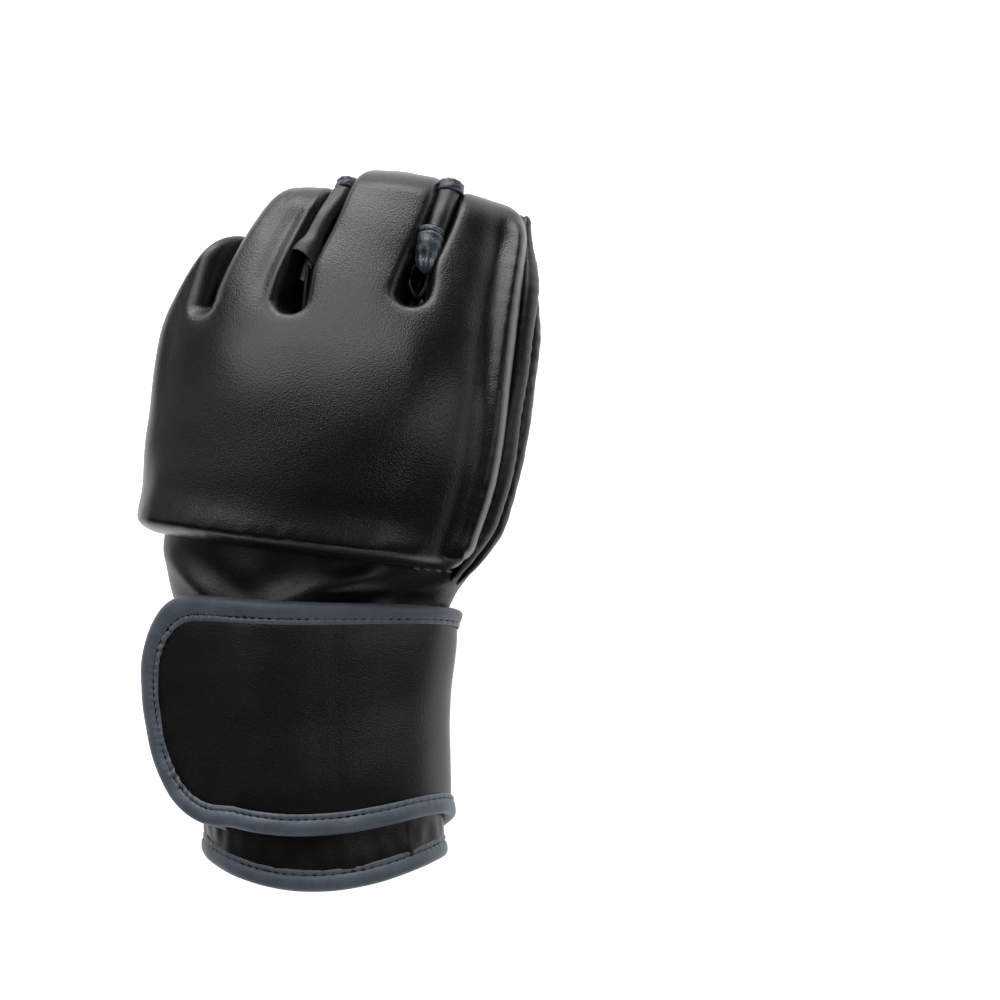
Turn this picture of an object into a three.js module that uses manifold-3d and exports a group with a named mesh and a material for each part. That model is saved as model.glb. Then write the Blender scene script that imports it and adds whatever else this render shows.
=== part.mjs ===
// An open-finger kickboxing glove for the left hand, lying palm down.
// Millimetres. +Z is the back of the hand, +Y points to the fingers, +X to the thumb side.
// The origin is under the middle of the glove, on the surface that it lies on.
import * as THREE from 'three';
import { mergeVertices } from 'three/addons/utils/BufferGeometryUtils.js';
import Module from 'manifold-3d';

const wasm = await Module();
wasm.setup();

const { degToRad, lerp, smoothstep, clamp } = THREE.MathUtils;

// Driving sizes of the sleeve that the hand goes into
const BACK_HEIGHT = 50; // height of the sleeve's back above the surface, at the wrist
const LEAST_HEIGHT = 4.3; // of the sleeve's flattened underside, where the strap runs under it
const LEAN = 7; // degrees that the hand leans to the thumb side of the wrist
const LEAN_FROM = 80;
const LEAN_TO = 112;
const CURL = 28.2; // degrees that the fingertips point down
const CURL_FROM = 128;
const CURL_TO = 228;
const SECTIONS = [
  { along: 0, halfWidth: 40.5, backRise: 23, palmDrop: 26, side: -3 },
  { along: 45, halfWidth: 39.4, backRise: 23.5, palmDrop: 25.5, side: -4.4 },
  { along: 82, halfWidth: 43.9, backRise: 23, palmDrop: 24.8, side: -7.1 },
  { along: 98, halfWidth: 49.2, backRise: 22.5, palmDrop: 23, side: -8.2 },
  { along: 112, halfWidth: 53.5, backRise: 21.5, palmDrop: 21.5, side: -5.8 },
  { along: 140, halfWidth: 54, backRise: 20, palmDrop: 19, side: 0 },
  { along: 175, halfWidth: 55, backRise: 18, palmDrop: 16, side: 0 },
  { along: 205, halfWidth: 53.4, backRise: 17, palmDrop: 12, side: 0 },
  { along: 240, halfWidth: 49.5, backRise: 16, palmDrop: 10, side: 0 },
];

// Where one piece ends and the next begins, along the sleeve
const CUFF_END = 74;
const PAD_START = 108;
const PALM_END = 170;
const TUBE_START = 177.2;
const WEB = 184;

// Thicknesses and the gap between pieces that touch
const GAP = 0.3;
const LEATHER = 1.6;
const LINING = 1;
const CUFF_WALL = 2.4;
const CUFF_HEM_PROUD = 0.6; // how far the cuff's binding stands proud of it, on both faces
const SIDE_GAP_ANGLE = 0.7; // degrees between the back and the palm leather, at the side seams

// The four fingers, from the thumb side; angles run from the thumb side over the back
const FINGERS = [
  {
    name: 'index', from: 24, to: 65, lobeEnd: 235,
    rim: 237, tubeAngle: 40, halfWidth: 13.9, halfDepth: 11.3,
  },
  {
    name: 'middle', from: 67, to: 102.5, lobeEnd: 240,
    rim: 243, tubeAngle: 84.5, halfWidth: 15, halfDepth: 11.7,
  },
  {
    name: 'ring', from: 104.5, to: 133, lobeEnd: 231,
    rim: 234, tubeAngle: 118.3, halfWidth: 11.7, halfDepth: 11.2,
  },
  {
    name: 'pinky', from: 135, to: 165, lobeEnd: 212,
    rim: 215, tubeAngle: 157, halfWidth: 8.5, halfDepth: 8.2,
  },
];
const TUBE_WALL = 1.4;
const RIM_SLANT = 9; // how much shorter a tube is on the palm side
const TUBE_BOXINESS = 2.7; // exponent of the tube's oval section
const TUBE_SIDES = 20;

// The padding on the back
const PAD_THICKNESS = 21;
const LOBE_THICKNESS = 17;
const PAD_EDGE = 2.2; // height of the padding at its seams
const PAD_ROUND = 15; // breadth over which it rises from a fingertip
const PAD_SIDE_ROUND = 12; // from a side seam or a groove
const PAD_BOTTOM_ROUND = 9.75; // from the seam at the wrist
const PAD_THIN_FROM = 150; // where it begins to thin towards the fingertips
const PAD_THIN_TO = 215;
const THUMB_SIDE_LEVEL = 0.72; // share of its thickness at the thumb side
const THUMB_SIDE_FROM = 8; // distance from the seam where it begins to thicken from that
const THUMB_SIDE_TO = 33;
const PINKY_SIDE_LEVEL = 0.6; // the same at the little finger's side, near the wrist
const PINKY_SIDE_FROM = 3;
const PINKY_SIDE_TO = 22;
const PINKY_SIDE_ENDS = 146; // where along the sleeve that side is full again
const PINKY_TAPER = 13; // degrees that the little finger's outer side runs in towards its tip
const PINKY_TAPER_FROM = 172;
const PINKY_TAPER_TO = 211;
const ARC_SHARE = 0.85; // of the half width, for the arc of a degree on the back
const NARROWING_FROM = 0.55; // share of a fingertip's length where its rounded end begins
const END_NARROWING = 0.72;
const WEB_DIMPLE = 0.4;
const WEB_DIMPLE_LENGTH = 6;

// Bindings round the openings
const BINDING_WIDTH = 6.2;
const BINDING_HALF = 1.5;
const BINDING_CLEARANCE = 0.45; // between a binding and the edge of the leather that it is sewn to
const CUTTER_REACH = 13; // how far the cutters of the openings reach above and below the leather
const SLOT_FIRST_ANGLE = -24; // of the binding at the finger tubes
const SLOT_LAST_ANGLE = -156;

// The cuff
const MOUTH_RISE = 9; // how much further to the fingers its mouth lies at the sides

// The strap round the wrist
const STRAP_HALF = 1.3;
const STRAP_HALF_WIDTH = 37;
const STRAP_MIDDLE = 49;
const STRAP_SLANT = 6.5; // how much further to the fingers it runs on the back
const STRAP_SIDE_RISE = 8; // how much further to the fingers it runs at the sides
const STRAP_SIDE_NARROWING = 0.09; // share of its breadth that it loses at the sides
const STRAP_BINDING = 6.4;
const STRAP_BINDING_HALF = 1.7;
const STRAP_START = 128; // angle where its hidden inner end lies
const STRAP_LEAVE = 480; // angle where its free end leaves the wrist
const FREE_END = 34; // length of the free end past that
const FREE_END_ROUND = 28; // length over which the free end rounds off
const FREE_END_POWER = 2.2; // exponent of its oval outline
const SECOND_LAYER_FROM = 300; // degrees past its start where it begins to climb onto itself
const SECOND_LAYER_TO = 345;

// How finely the pieces are divided
const BACK_ROWS = 8;
const BACK_COLUMNS = 18;
const LINING_COLUMNS = 12;
const LINING_FIRST_ANGLE = 12;
const LINING_LAST_ANGLE = 168;
const PALM_ROWS = 9;
const PALM_COLUMNS = 20;
const PALM_OUTLINE_POINTS = 40;
const SLOT_COLUMNS = 22;
const TUBE_ROWS = 5;
const SIDE_ROLL_ROWS = 8;
const GROOVE_ROD_ROWS = 4;
const CUFF_COLUMNS = 32;
const CUFF_ROWS = [24, 50]; // where the cuff's wall is divided along it
const STRAP_STEP = 8; // degrees
const STRAP_ROWS = 48;
const FREE_END_ROWS = 10;
const BACK_LINE_LENGTH = 250;

const BLACK = { color: 0x17161a, roughness: 0.45, metalness: 0 };
const BLACK_PAD = { color: 0x1c1b20, roughness: 0.4, metalness: 0 };
const GRAY = { color: 0x5b646d, roughness: 0.55, metalness: 0 };
const KNIT = { color: 0x0d0d0f, roughness: 0.95, metalness: 0 };

/** A smooth value of one column of a table whose rows are sorted by their place along the sleeve. */
function tableValue(table, column, along) {
  const last = table.length - 1;
  const at = clamp(along, table[0].along, table[last].along);
  let row = 0;
  while (row < last - 1 && at > table[row + 1].along) row += 1;
  const slope = (i) => {
    const before = table[Math.max(i - 1, 0)];
    const after = table[Math.min(i + 1, last)];
    return (after[column] - before[column]) / (after.along - before.along);
  };
  const span = table[row + 1].along - table[row].along;
  const t = (at - table[row].along) / span;
  const fromStart = table[row][column] * (1 + 2 * t) * (1 - t) ** 2;
  const fromEnd = table[row + 1][column] * (3 - 2 * t) * t ** 2;
  const startSlope = slope(row) * span * t * (1 - t) ** 2;
  const endSlope = slope(row + 1) * span * t ** 2 * (t - 1);
  return fromStart + fromEnd + startSlope + endSlope;
}

const leanAt = (along) => degToRad(LEAN) * smoothstep(along, LEAN_FROM, LEAN_TO);
const curlAt = (along) => degToRad(CURL) * smoothstep(along, CURL_FROM, CURL_TO);

/** The line along the sleeve's back, one point for each millimetre. */
function walkBackLine(length) {
  const points = [new THREE.Vector3(0, 0, BACK_HEIGHT)];
  for (let along = 0; along < length; along += 1) {
    const { forward } = axesAt(along + 0.5);
    points.push(points[along].clone().add(forward));
  }
  return points;
}

/** The directions across, along and out of the sleeve's back. */
function axesAt(along) {
  const lean = leanAt(along);
  const curl = curlAt(along);
  const right = new THREE.Vector3(Math.cos(lean), -Math.sin(lean), 0);
  const forward = new THREE.Vector3(
    Math.sin(lean) * Math.cos(curl),
    Math.cos(lean) * Math.cos(curl),
    -Math.sin(curl),
  );
  return { right, forward, up: right.clone().cross(forward) };
}

const backLine = walkBackLine(BACK_LINE_LENGTH);

/** A point of that line. */
function backLineAt(along) {
  const step = clamp(Math.floor(along), 0, backLine.length - 2);
  return backLine[step].clone().lerp(backLine[step + 1], along - step);
}

/** A point of the sleeve: along it, at an angle round its oval section, and off its surface. */
function place(along, angle, height = 0) {
  const { right, up } = axesAt(along);
  const halfWidth = tableValue(SECTIONS, 'halfWidth', along);
  const backRise = tableValue(SECTIONS, 'backRise', along);
  const palmDrop = tableValue(SECTIONS, 'palmDrop', along);
  const turn = degToRad(angle);
  const reach = Math.sin(turn) > 0 ? backRise : palmDrop;
  const normal = new THREE.Vector2(Math.cos(turn) / halfWidth, Math.sin(turn) / reach).normalize();
  const side = tableValue(SECTIONS, 'side', along);
  const across = side + halfWidth * Math.cos(turn) + height * normal.x;
  const lift = reach * Math.sin(turn) + height * normal.y;
  const point = backLineAt(along).addScaledVector(right, across).addScaledVector(up, lift - backRise);
  point.z = Math.max(point.z, LEAST_HEIGHT - height);
  return point;
}

/** Turns a geometry's faces out, where they were built facing in. */
function facingOut(geometry) {
  const position = geometry.getAttribute('position');
  const index = geometry.getIndex();
  const corner = [new THREE.Vector3(), new THREE.Vector3(), new THREE.Vector3()];
  let volume = 0;
  for (let i = 0; i < index.count; i += 3) {
    corner.forEach((point, k) => point.fromBufferAttribute(position, index.getX(i + k)));
    volume += corner[0].dot(corner[1].clone().cross(corner[2]));
  }
  if (volume < 0) {
    for (let i = 0; i < index.count; i += 3) {
      const second = index.getX(i + 1);
      index.setX(i + 1, index.getX(i + 2));
      index.setX(i + 2, second);
    }
  }
  return geometry;
}

/**
 * A closed sheet of cells: an outer and an inner face, and a wall wherever the cells end.
 * point(row, column, side) gives its corners, side 0 outside and 1 inside.
 */
function slab({ rows, columns, point, wrapRows = false, wrapColumns = false, active = () => true }) {
  const positions = [];
  const indices = [];
  const rowPoints = wrapRows ? rows : rows + 1;
  const columnPoints = wrapColumns ? columns : columns + 1;
  const number = (row, column, side) =>
    ((row % rowPoints) * columnPoints + (column % columnPoints)) * 2 + side;
  for (let row = 0; row < rowPoints; row += 1) {
    for (let column = 0; column < columnPoints; column += 1) {
      for (const side of [0, 1]) positions.push(...point(row, column, side).toArray());
    }
  }
  const quad = (a, b, c, d) => indices.push(a, b, c, a, c, d);
  const present = (row, column) => {
    const inRow = wrapRows || (row >= 0 && row < rows);
    const inColumn = wrapColumns || (column >= 0 && column < columns);
    if (!inRow || !inColumn) return false;
    return active((row + rows) % rows, (column + columns) % columns);
  };
  const wall = (rowA, columnA, rowB, columnB) => quad(
    number(rowA, columnA, 0), number(rowA, columnA, 1), number(rowB, columnB, 1), number(rowB, columnB, 0),
  );
  for (let row = 0; row < rows; row += 1) {
    for (let column = 0; column < columns; column += 1) {
      if (!present(row, column)) continue;
      const corners = [[row, column], [row, column + 1], [row + 1, column + 1], [row + 1, column]];
      const outer = corners.map(([r, c]) => number(r, c, 0));
      const inner = corners.map(([r, c]) => number(r, c, 1)).reverse();
      quad(...outer);
      quad(...inner);
      if (!present(row - 1, column)) wall(row, column, row, column + 1);
      if (!present(row, column + 1)) wall(row, column + 1, row + 1, column + 1);
      if (!present(row + 1, column)) wall(row + 1, column + 1, row + 1, column);
      if (!present(row, column - 1)) wall(row + 1, column, row, column);
    }
  }
  const geometry = new THREE.BufferGeometry();
  geometry.setAttribute('position', new THREE.Float32BufferAttribute(positions, 3));
  geometry.setIndex(indices);
  return facingOut(geometry);
}

/** Evenly spread numbers, both ends included. */
const spread = (from, to, count) => Array.from({ length: count + 1 }, (_, i) => lerp(from, to, i / count));

/** A sheet of the sleeve between two angles, as thick as its two heights tell. */
function sleeveSheet({ alongs, angles, outer, inner, wrapColumns = false, alongOf = (along) => along }) {
  return slab({
    rows: alongs.length - 1,
    columns: wrapColumns ? angles.length : angles.length - 1,
    wrapColumns,
    point: (row, column, side) => {
      const angle = angles[column];
      return place(alongOf(alongs[row], angle), angle, side === 0 ? outer : inner);
    },
  });
}

/** A geometry as a solid that can be cut. */
function toSolid(geometry) {
  const bare = geometry.clone();
  for (const name of Object.keys(bare.attributes)) {
    if (name !== 'position') bare.deleteAttribute(name);
  }
  const merged = mergeVertices(bare, 1e-4);
  return new wasm.Manifold(new wasm.Mesh({
    numProp: 3,
    vertProperties: new Float32Array(merged.getAttribute('position').array),
    triVerts: new Uint32Array(merged.getIndex().array),
  }));
}

/** A cut solid as a geometry. */
function toGeometry(solid) {
  const mesh = solid.getMesh();
  const geometry = new THREE.BufferGeometry();
  geometry.setAttribute('position', new THREE.BufferAttribute(new Float32Array(mesh.vertProperties), 3));
  geometry.setIndex(new THREE.BufferAttribute(new Uint32Array(mesh.triVerts), 1));
  return geometry;
}

const glove = new THREE.Group();

/** Adds a named piece to the glove. */
function add(name, geometry, look) {
  const mesh = new THREE.Mesh(geometry, new THREE.MeshStandardMaterial(look));
  mesh.name = name;
  glove.add(mesh);
  return mesh;
}

/** Rise of a padded edge at a distance from its seam: a quarter round, then level. */
const edgeRise = (distance, breadth) => Math.sqrt(1 - (1 - clamp(distance / breadth, 0, 1)) ** 2);

// Columns of the padding: six points over each finger, so one narrow cell lies between neighbours
const LOBE_STOPS = [0, 0.1, 0.28, 0.5, 0.72, 0.9, 1];
const BODY_ROWS = [0, 1.2, 4, 9, 16, 28, 42, 56, 68, WEB - PAD_START];
const LOBE_ROWS = [0.25, 0.5, 0.72, 0.88, 0.97, 1];

/** How far into a finger's rounded end a row lies, as the share of the finger's breadth left. */
function lobeBreadth(share) {
  const intoEnd = clamp((share - NARROWING_FROM) / (1 - NARROWING_FROM), 0, 1);
  return Math.sqrt(1 - (END_NARROWING * intoEnd ** 2) ** 2);
}

/** A corner of the padding's cells; side 0 is its outer face. */
function padPoint(row, column, side) {
  const perLobe = LOBE_STOPS.length;
  const finger = FINGERS[Math.floor(column / perLobe)];
  const stop = LOBE_STOPS[column % perLobe];
  const inLobe = row >= BODY_ROWS.length;
  const share = inLobe ? LOBE_ROWS[row - BODY_ROWS.length] : 0;
  const along = inLobe ? lerp(WEB, finger.lobeEnd, share) : PAD_START + BODY_ROWS[row];
  const middle = (finger.from + finger.to) / 2;
  const tapering = PINKY_TAPER * smoothstep(along, PINKY_TAPER_FROM, PINKY_TAPER_TO);
  const taper = finger.name === 'pinky' ? tapering : 0;
  const angle = middle + (finger.to - finger.from) * (stop - 0.5) * lobeBreadth(share) - taper * stop;
  if (side === 1) return place(along, angle, GAP);
  return place(along, angle, padHeight(finger, stop, along, share));
}

/** Height of the padding above the sleeve. */
function padHeight(finger, stop, along, share) {
  const breadth = degToRad(finger.to - finger.from) * ARC_SHARE * tableValue(SECTIONS, 'halfWidth', along);
  const toSide = Math.min(stop, 1 - stop) * breadth;
  const outerSide = (finger.name === 'index' && stop < 0.5) || (finger.name === 'pinky' && stop > 0.5);
  const split = share > 0 ? 1 : WEB_DIMPLE * Math.exp((along - WEB) / WEB_DIMPLE_LENGTH);
  const fromSide = lerp(1, edgeRise(toSide, PAD_SIDE_ROUND), outerSide ? 1 : split);
  const fromBottom = edgeRise(along - PAD_START, PAD_BOTTOM_ROUND);
  const fromEnd = edgeRise(finger.lobeEnd - along, PAD_ROUND);
  const toThumb = finger.name === 'index' ? stop * breadth : THUMB_SIDE_TO;
  const thumbLevel = lerp(THUMB_SIDE_LEVEL, 1, smoothstep(toThumb, THUMB_SIDE_FROM, THUMB_SIDE_TO));
  const toPinky = finger.name === 'pinky' ? (1 - stop) * breadth : PINKY_SIDE_TO;
  const fromPinky = smoothstep(toPinky, PINKY_SIDE_FROM, PINKY_SIDE_TO);
  const fromWrist = smoothstep(along, PAD_START, PINKY_SIDE_ENDS);
  const pinkyLevel = lerp(PINKY_SIDE_LEVEL, 1, Math.max(fromPinky, fromWrist));
  const toTips = smoothstep(along, PAD_THIN_FROM, PAD_THIN_TO);
  const full = thumbLevel * pinkyLevel * lerp(PAD_THICKNESS, LOBE_THICKNESS, toTips);
  return PAD_EDGE + (full - PAD_EDGE) * fromSide * fromBottom * fromEnd;
}

/** The padding on the back, with a lobe over each finger. */
function addPad() {
  const columns = LOBE_STOPS.length * FINGERS.length - 1;
  const isWeb = (column) => column % LOBE_STOPS.length === LOBE_STOPS.length - 1;
  add('back_pad', slab({
    rows: BODY_ROWS.length + LOBE_ROWS.length - 1,
    columns,
    point: padPoint,
    active: (row, column) => row < BODY_ROWS.length - 1 || !isWeb(column),
  }), BLACK_PAD);
}

/** The leather of the back, under the padding and down to the cuff, and its lining. */
function addBack() {
  const alongs = spread(CUFF_END + GAP, TUBE_START - GAP, BACK_ROWS);
  const angles = spread(SIDE_GAP_ANGLE, 180 - SIDE_GAP_ANGLE, BACK_COLUMNS);
  add('back_panel', sleeveSheet({ alongs, angles, outer: 0, inner: -LEATHER }), BLACK);
  const liningAngles = spread(LINING_FIRST_ANGLE, LINING_LAST_ANGLE, LINING_COLUMNS);
  const top = -LEATHER - GAP;
  add('back_lining', sleeveSheet({ alongs, angles: liningAngles, outer: top, inner: top - LINING }), KNIT);
}

/** A point on the palm side, from millimetres across and along, and off the leather. */
function palmPlace(across, along, height) {
  const halfWidth = tableValue(SECTIONS, 'halfWidth', along);
  const turn = Math.acos(clamp(across / halfWidth, -0.995, 0.995));
  return place(along, -THREE.MathUtils.radToDeg(turn), height);
}

/** An outline moved inward by a distance; its points run one way round. */
function inset(outline, distance, closed) {
  const count = outline.length;
  return outline.map((point, i) => {
    const before = outline[closed ? (i - 1 + count) % count : Math.max(i - 1, 0)];
    const after = outline[closed ? (i + 1) % count : Math.min(i + 1, count - 1)];
    const direction = after.clone().sub(before).normalize();
    return new THREE.Vector2(point.x - direction.y * distance, point.y + direction.x * distance);
  });
}

/** A rounded closed outline through a few points, counter-clockwise, in millimetres across and along. */
function roundedOutline(corners, count) {
  const curve = new THREE.CatmullRomCurve3(
    corners.map(([x, y]) => new THREE.Vector3(x, y, 0)), true, 'centripetal',
  );
  return curve.getSpacedPoints(count).slice(0, count).map((point) => new THREE.Vector2(point.x, point.y));
}

/** The solid that an outline cuts out of the palm leather. */
function palmCutter(outline) {
  const count = outline.length;
  const positions = [];
  for (const height of [CUTTER_REACH, -CUTTER_REACH]) {
    for (const point of outline) positions.push(...palmPlace(point.x, point.y, height).toArray());
  }
  const indices = [];
  for (const [a, b, c] of THREE.ShapeUtils.triangulateShape(outline, [])) {
    indices.push(a, b, c, a + count, c + count, b + count);
  }
  for (let i = 0; i < count; i += 1) {
    const next = (i + 1) % count;
    indices.push(i, i + count, next, next, i + count, next + count);
  }
  const geometry = new THREE.BufferGeometry();
  geometry.setAttribute('position', new THREE.Float32BufferAttribute(positions, 3));
  geometry.setIndex(indices);
  return toSolid(facingOut(geometry));
}

/** A binding round an opening of the palm leather. */
function palmBinding(outline, closed) {
  const outer = inset(outline, BINDING_CLEARANCE, closed);
  const inner = inset(outline, BINDING_WIDTH, closed);
  return slab({
    rows: closed ? outline.length : outline.length - 1,
    columns: 1,
    wrapRows: closed,
    point: (row, column, side) => {
      const point = column === 0 ? outer[row] : inner[row];
      const middle = -LEATHER / 2;
      return palmPlace(point.x, point.y, middle + (side === 0 ? BINDING_HALF : -BINDING_HALF));
    },
  });
}

// The palm opening, a rounded triangle, and the thumb opening, a long slot that runs under the strap
const PALM_OPENING = [
  [-36, 154], [-39, 143], [-33, 121], [-21, 100], [-11, 97],
  [3, 113], [13, 135], [15, 149], [4, 156], [-18, 158],
];
const THUMB_OPENING = { top: [36, 139], bottom: [2, 70], halfWidth: 13.2, roundSteps: 10, sideSteps: 8 };

/** The thumb opening's outline, from its open end round its top and back. */
function thumbOutline() {
  const top = new THREE.Vector2(...THUMB_OPENING.top);
  const bottom = new THREE.Vector2(...THUMB_OPENING.bottom);
  const down = bottom.clone().sub(top).normalize();
  const across = new THREE.Vector2(-down.y, down.x);
  const centre = top.clone().addScaledVector(down, THUMB_OPENING.halfWidth);
  const points = [];
  for (const share of spread(1, 0, THUMB_OPENING.sideSteps).slice(0, -1)) {
    points.push(centre.clone().lerp(bottom, share).addScaledVector(across, THUMB_OPENING.halfWidth));
  }
  for (const turn of spread(0, Math.PI, THUMB_OPENING.roundSteps)) {
    points.push(centre.clone()
      .addScaledVector(across, THUMB_OPENING.halfWidth * Math.cos(turn))
      .addScaledVector(down, -THUMB_OPENING.halfWidth * Math.sin(turn)));
  }
  for (const share of spread(0, 1, THUMB_OPENING.sideSteps).slice(1)) {
    points.push(centre.clone().lerp(bottom, share).addScaledVector(across, -THUMB_OPENING.halfWidth));
  }
  return points;
}

/** The palm leather with its two openings, their bindings, and the binding at the finger tubes. */
function addPalm() {
  const alongs = spread(CUFF_END + GAP, PALM_END, PALM_ROWS);
  const angles = spread(-SIDE_GAP_ANGLE, -180 + SIDE_GAP_ANGLE, PALM_COLUMNS);
  const palmOutline = roundedOutline(PALM_OPENING, PALM_OUTLINE_POINTS);
  const thumb = thumbOutline();
  const leather = toSolid(sleeveSheet({ alongs, angles, outer: 0, inner: -LEATHER }))
    .subtract(palmCutter(palmOutline))
    .subtract(palmCutter(thumb));
  add('palm_panel', toGeometry(leather), BLACK);
  add('palm_opening_binding', palmBinding(palmOutline, true), GRAY);
  const shown = thumb.filter((point) => point.y > CUFF_END + BINDING_WIDTH / 2);
  add('thumb_opening_binding', palmBinding(shown, false), GRAY);
  const slotAngles = spread(SLOT_FIRST_ANGLE, SLOT_LAST_ANGLE, SLOT_COLUMNS);
  add('finger_slot_binding', slab({
    rows: 1,
    columns: slotAngles.length - 1,
    point: (row, column, side) => place(
      PALM_END + GAP + row * BINDING_WIDTH,
      slotAngles[column],
      -LEATHER / 2 + (side === 0 ? BINDING_HALF : -BINDING_HALF),
    ),
  }), GRAY);
}

// The rolled leather between the fingers: black rods in the grooves, and a gray gathered knob
const GROOVE_RODS = [
  { name: 'ring_middle_gusset', angle: 103.5, radius: 2.9, from: 197, to: 229, height: 11.3, look: BLACK },
  { name: 'middle_index_gusset', angle: 66, radius: 3.1, from: 212, to: 230, height: 11.8, look: BLACK },
  { name: 'middle_index_knob', angle: 66, radius: 3.7, from: 197, to: 211.5, height: 13, look: GRAY },
  { name: 'pinky_ring_gusset', angle: 134, radius: 2, from: 190, to: 206, height: 10.5, look: BLACK },
];

/** A finger's tube: an oval sleeve that hangs under the back's surface, boxier than an ellipse. */
function tubePoint(finger, share, turn, inward) {
  const shortening = RIM_SLANT * (1 - Math.sin(turn)) / 2;
  const along = lerp(TUBE_START, finger.rim - shortening, share);
  const top = place(along, finger.tubeAngle, 0);
  const out = place(along, finger.tubeAngle, 1).sub(top).normalize();
  const { forward } = axesAt(along);
  const side = forward.clone().cross(out).normalize();
  const centre = top.addScaledVector(out, -finger.halfDepth - GAP);
  const power = 2 / TUBE_BOXINESS;
  const shape = (value) => Math.sign(value) * Math.abs(value) ** power;
  return centre
    .addScaledVector(side, (finger.halfWidth - inward) * shape(Math.cos(turn)))
    .addScaledVector(out, (finger.halfDepth - inward) * shape(Math.sin(turn)));
}

/** The four finger tubes. */
function addFingerTubes() {
  const turns = spread(0, 2 * Math.PI, TUBE_SIDES).slice(0, -1);
  for (const finger of FINGERS) {
    const shares = spread(0, 1, TUBE_ROWS);
    add(`${finger.name}_finger_tube`, slab({
      rows: shares.length - 1,
      columns: turns.length,
      wrapColumns: true,
      point: (row, column, side) => tubePoint(finger, shares[row], turns[column], side * TUBE_WALL),
    }), BLACK);
  }
}

/** A closed rod along a list of points. */
function rod(points, halfWidth, sides = 8) {
  const circle = new THREE.Shape(spread(0, 2 * Math.PI, sides).slice(0, -1).map(
    (turn) => new THREE.Vector2(halfWidth * Math.cos(turn), halfWidth * Math.sin(turn)),
  ));
  const extrudePath = new THREE.CatmullRomCurve3(points);
  return new THREE.ExtrudeGeometry(circle, { steps: 2 * points.length, extrudePath, bevelEnabled: false });
}

// The sewn rolls at the sides of the glove
const SIDE_ROLLS = [
  { name: 'thumb_gusset_roll', angle: 17, radius: 2.6, from: 110, to: 232, off: 3 },
  { name: 'thumb_edge_welt', angle: 3, radius: 2.1, from: 110, to: 212, off: 2.5 },
  { name: 'pinky_gusset_roll', angle: 178, radius: 2.3, from: 114, to: 204, off: 2.7 },
];

/** The rolls at the sides of the glove. */
function addSideRolls() {
  for (const roll of SIDE_ROLLS) {
    const alongs = spread(roll.from, roll.to, SIDE_ROLL_ROWS);
    const points = alongs.map((along) => place(along, roll.angle, roll.off));
    add(roll.name, rod(points, roll.radius), BLACK);
  }
}

/** The rolls between the fingers. */
function addGrooveRods() {
  for (const piece of GROOVE_RODS) {
    const alongs = spread(piece.from, piece.to, GROOVE_ROD_ROWS);
    const points = alongs.map((along) => place(along, piece.angle, piece.height));
    add(piece.name, rod(points, piece.radius), piece.look);
  }
}

/** The cuff and the binding round its mouth. */
function addCuff() {
  const angles = spread(0, 360, CUFF_COLUMNS).slice(0, -1);
  const mouth = (angle) => MOUTH_RISE * Math.cos(degToRad(angle)) ** 2;
  const fromMouth = (along, angle) => lerp(mouth(angle), CUFF_END, along / CUFF_END);
  add('wrist_cuff', sleeveSheet({
    alongs: [BINDING_WIDTH + GAP, ...CUFF_ROWS, CUFF_END],
    angles,
    outer: 0,
    inner: -CUFF_WALL,
    wrapColumns: true,
    alongOf: fromMouth,
  }), BLACK);
  add('cuff_binding', sleeveSheet({
    alongs: [0, BINDING_WIDTH],
    angles,
    outer: CUFF_HEM_PROUD,
    inner: -CUFF_WALL - CUFF_HEM_PROUD,
    wrapColumns: true,
    alongOf: fromMouth,
  }), GRAY);
}

/** The strap's route round the wrist: its length so far, its angle and its height off the cuff. */
function walkStrap() {
  const base = GAP + CUFF_HEM_PROUD + STRAP_BINDING_HALF;
  const pitch = 2 * STRAP_BINDING_HALF + GAP;
  const stops = [];
  let before = null;
  for (let angle = STRAP_START; angle <= STRAP_LEAVE; angle += STRAP_STEP) {
    const second = smoothstep(angle, STRAP_START + SECOND_LAYER_FROM, STRAP_START + SECOND_LAYER_TO);
    const height = base + pitch * second;
    const point = place(STRAP_MIDDLE, angle, height);
    const distance = before ? before.distance + before.point.distanceTo(point) : 0;
    before = { angle, height, point, distance };
    stops.push(before);
  }
  return stops;
}

const strapPath = walkStrap();
const leaveDistance = strapPath[strapPath.length - 1].distance;
const strapLength = leaveDistance + FREE_END;

/** A point of the strap from its length, its breadth from the middle and its height off its middle. */
function strapPlace(distance, breadth, height) {
  let i = 0;
  while (i < strapPath.length - 2 && distance > strapPath[i + 1].distance) i += 1;
  const [from, to] = [strapPath[i], strapPath[i + 1]];
  const t = Math.min((distance - from.distance) / (to.distance - from.distance), 1);
  const angle = lerp(from.angle, to.angle, t);
  const turn = degToRad(angle);
  const sideways = Math.cos(turn) ** 2;
  const shift = STRAP_SLANT * Math.sin(turn) + STRAP_SIDE_RISE * sideways;
  const along = STRAP_MIDDLE + shift + breadth * (1 - STRAP_SIDE_NARROWING * sideways);
  const off = lerp(from.height, to.height, t) + height;
  const point = place(along, angle, off);
  const past = distance - leaveDistance;
  if (past > 0) {
    const heading = point.clone().sub(place(along, angle - 2, off)).normalize();
    point.addScaledVector(heading, past);
  }
  return point;
}

/** Half the strap's breadth at a place along it, rounded at the free end. */
function strapHalfBreadth(distance, margin) {
  const round = FREE_END_ROUND - margin;
  const into = clamp((distance - (strapLength - margin - round)) / round, 0, 1);
  return (STRAP_HALF_WIDTH - margin) * (1 - into ** FREE_END_POWER) ** (1 / FREE_END_POWER);
}

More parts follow.
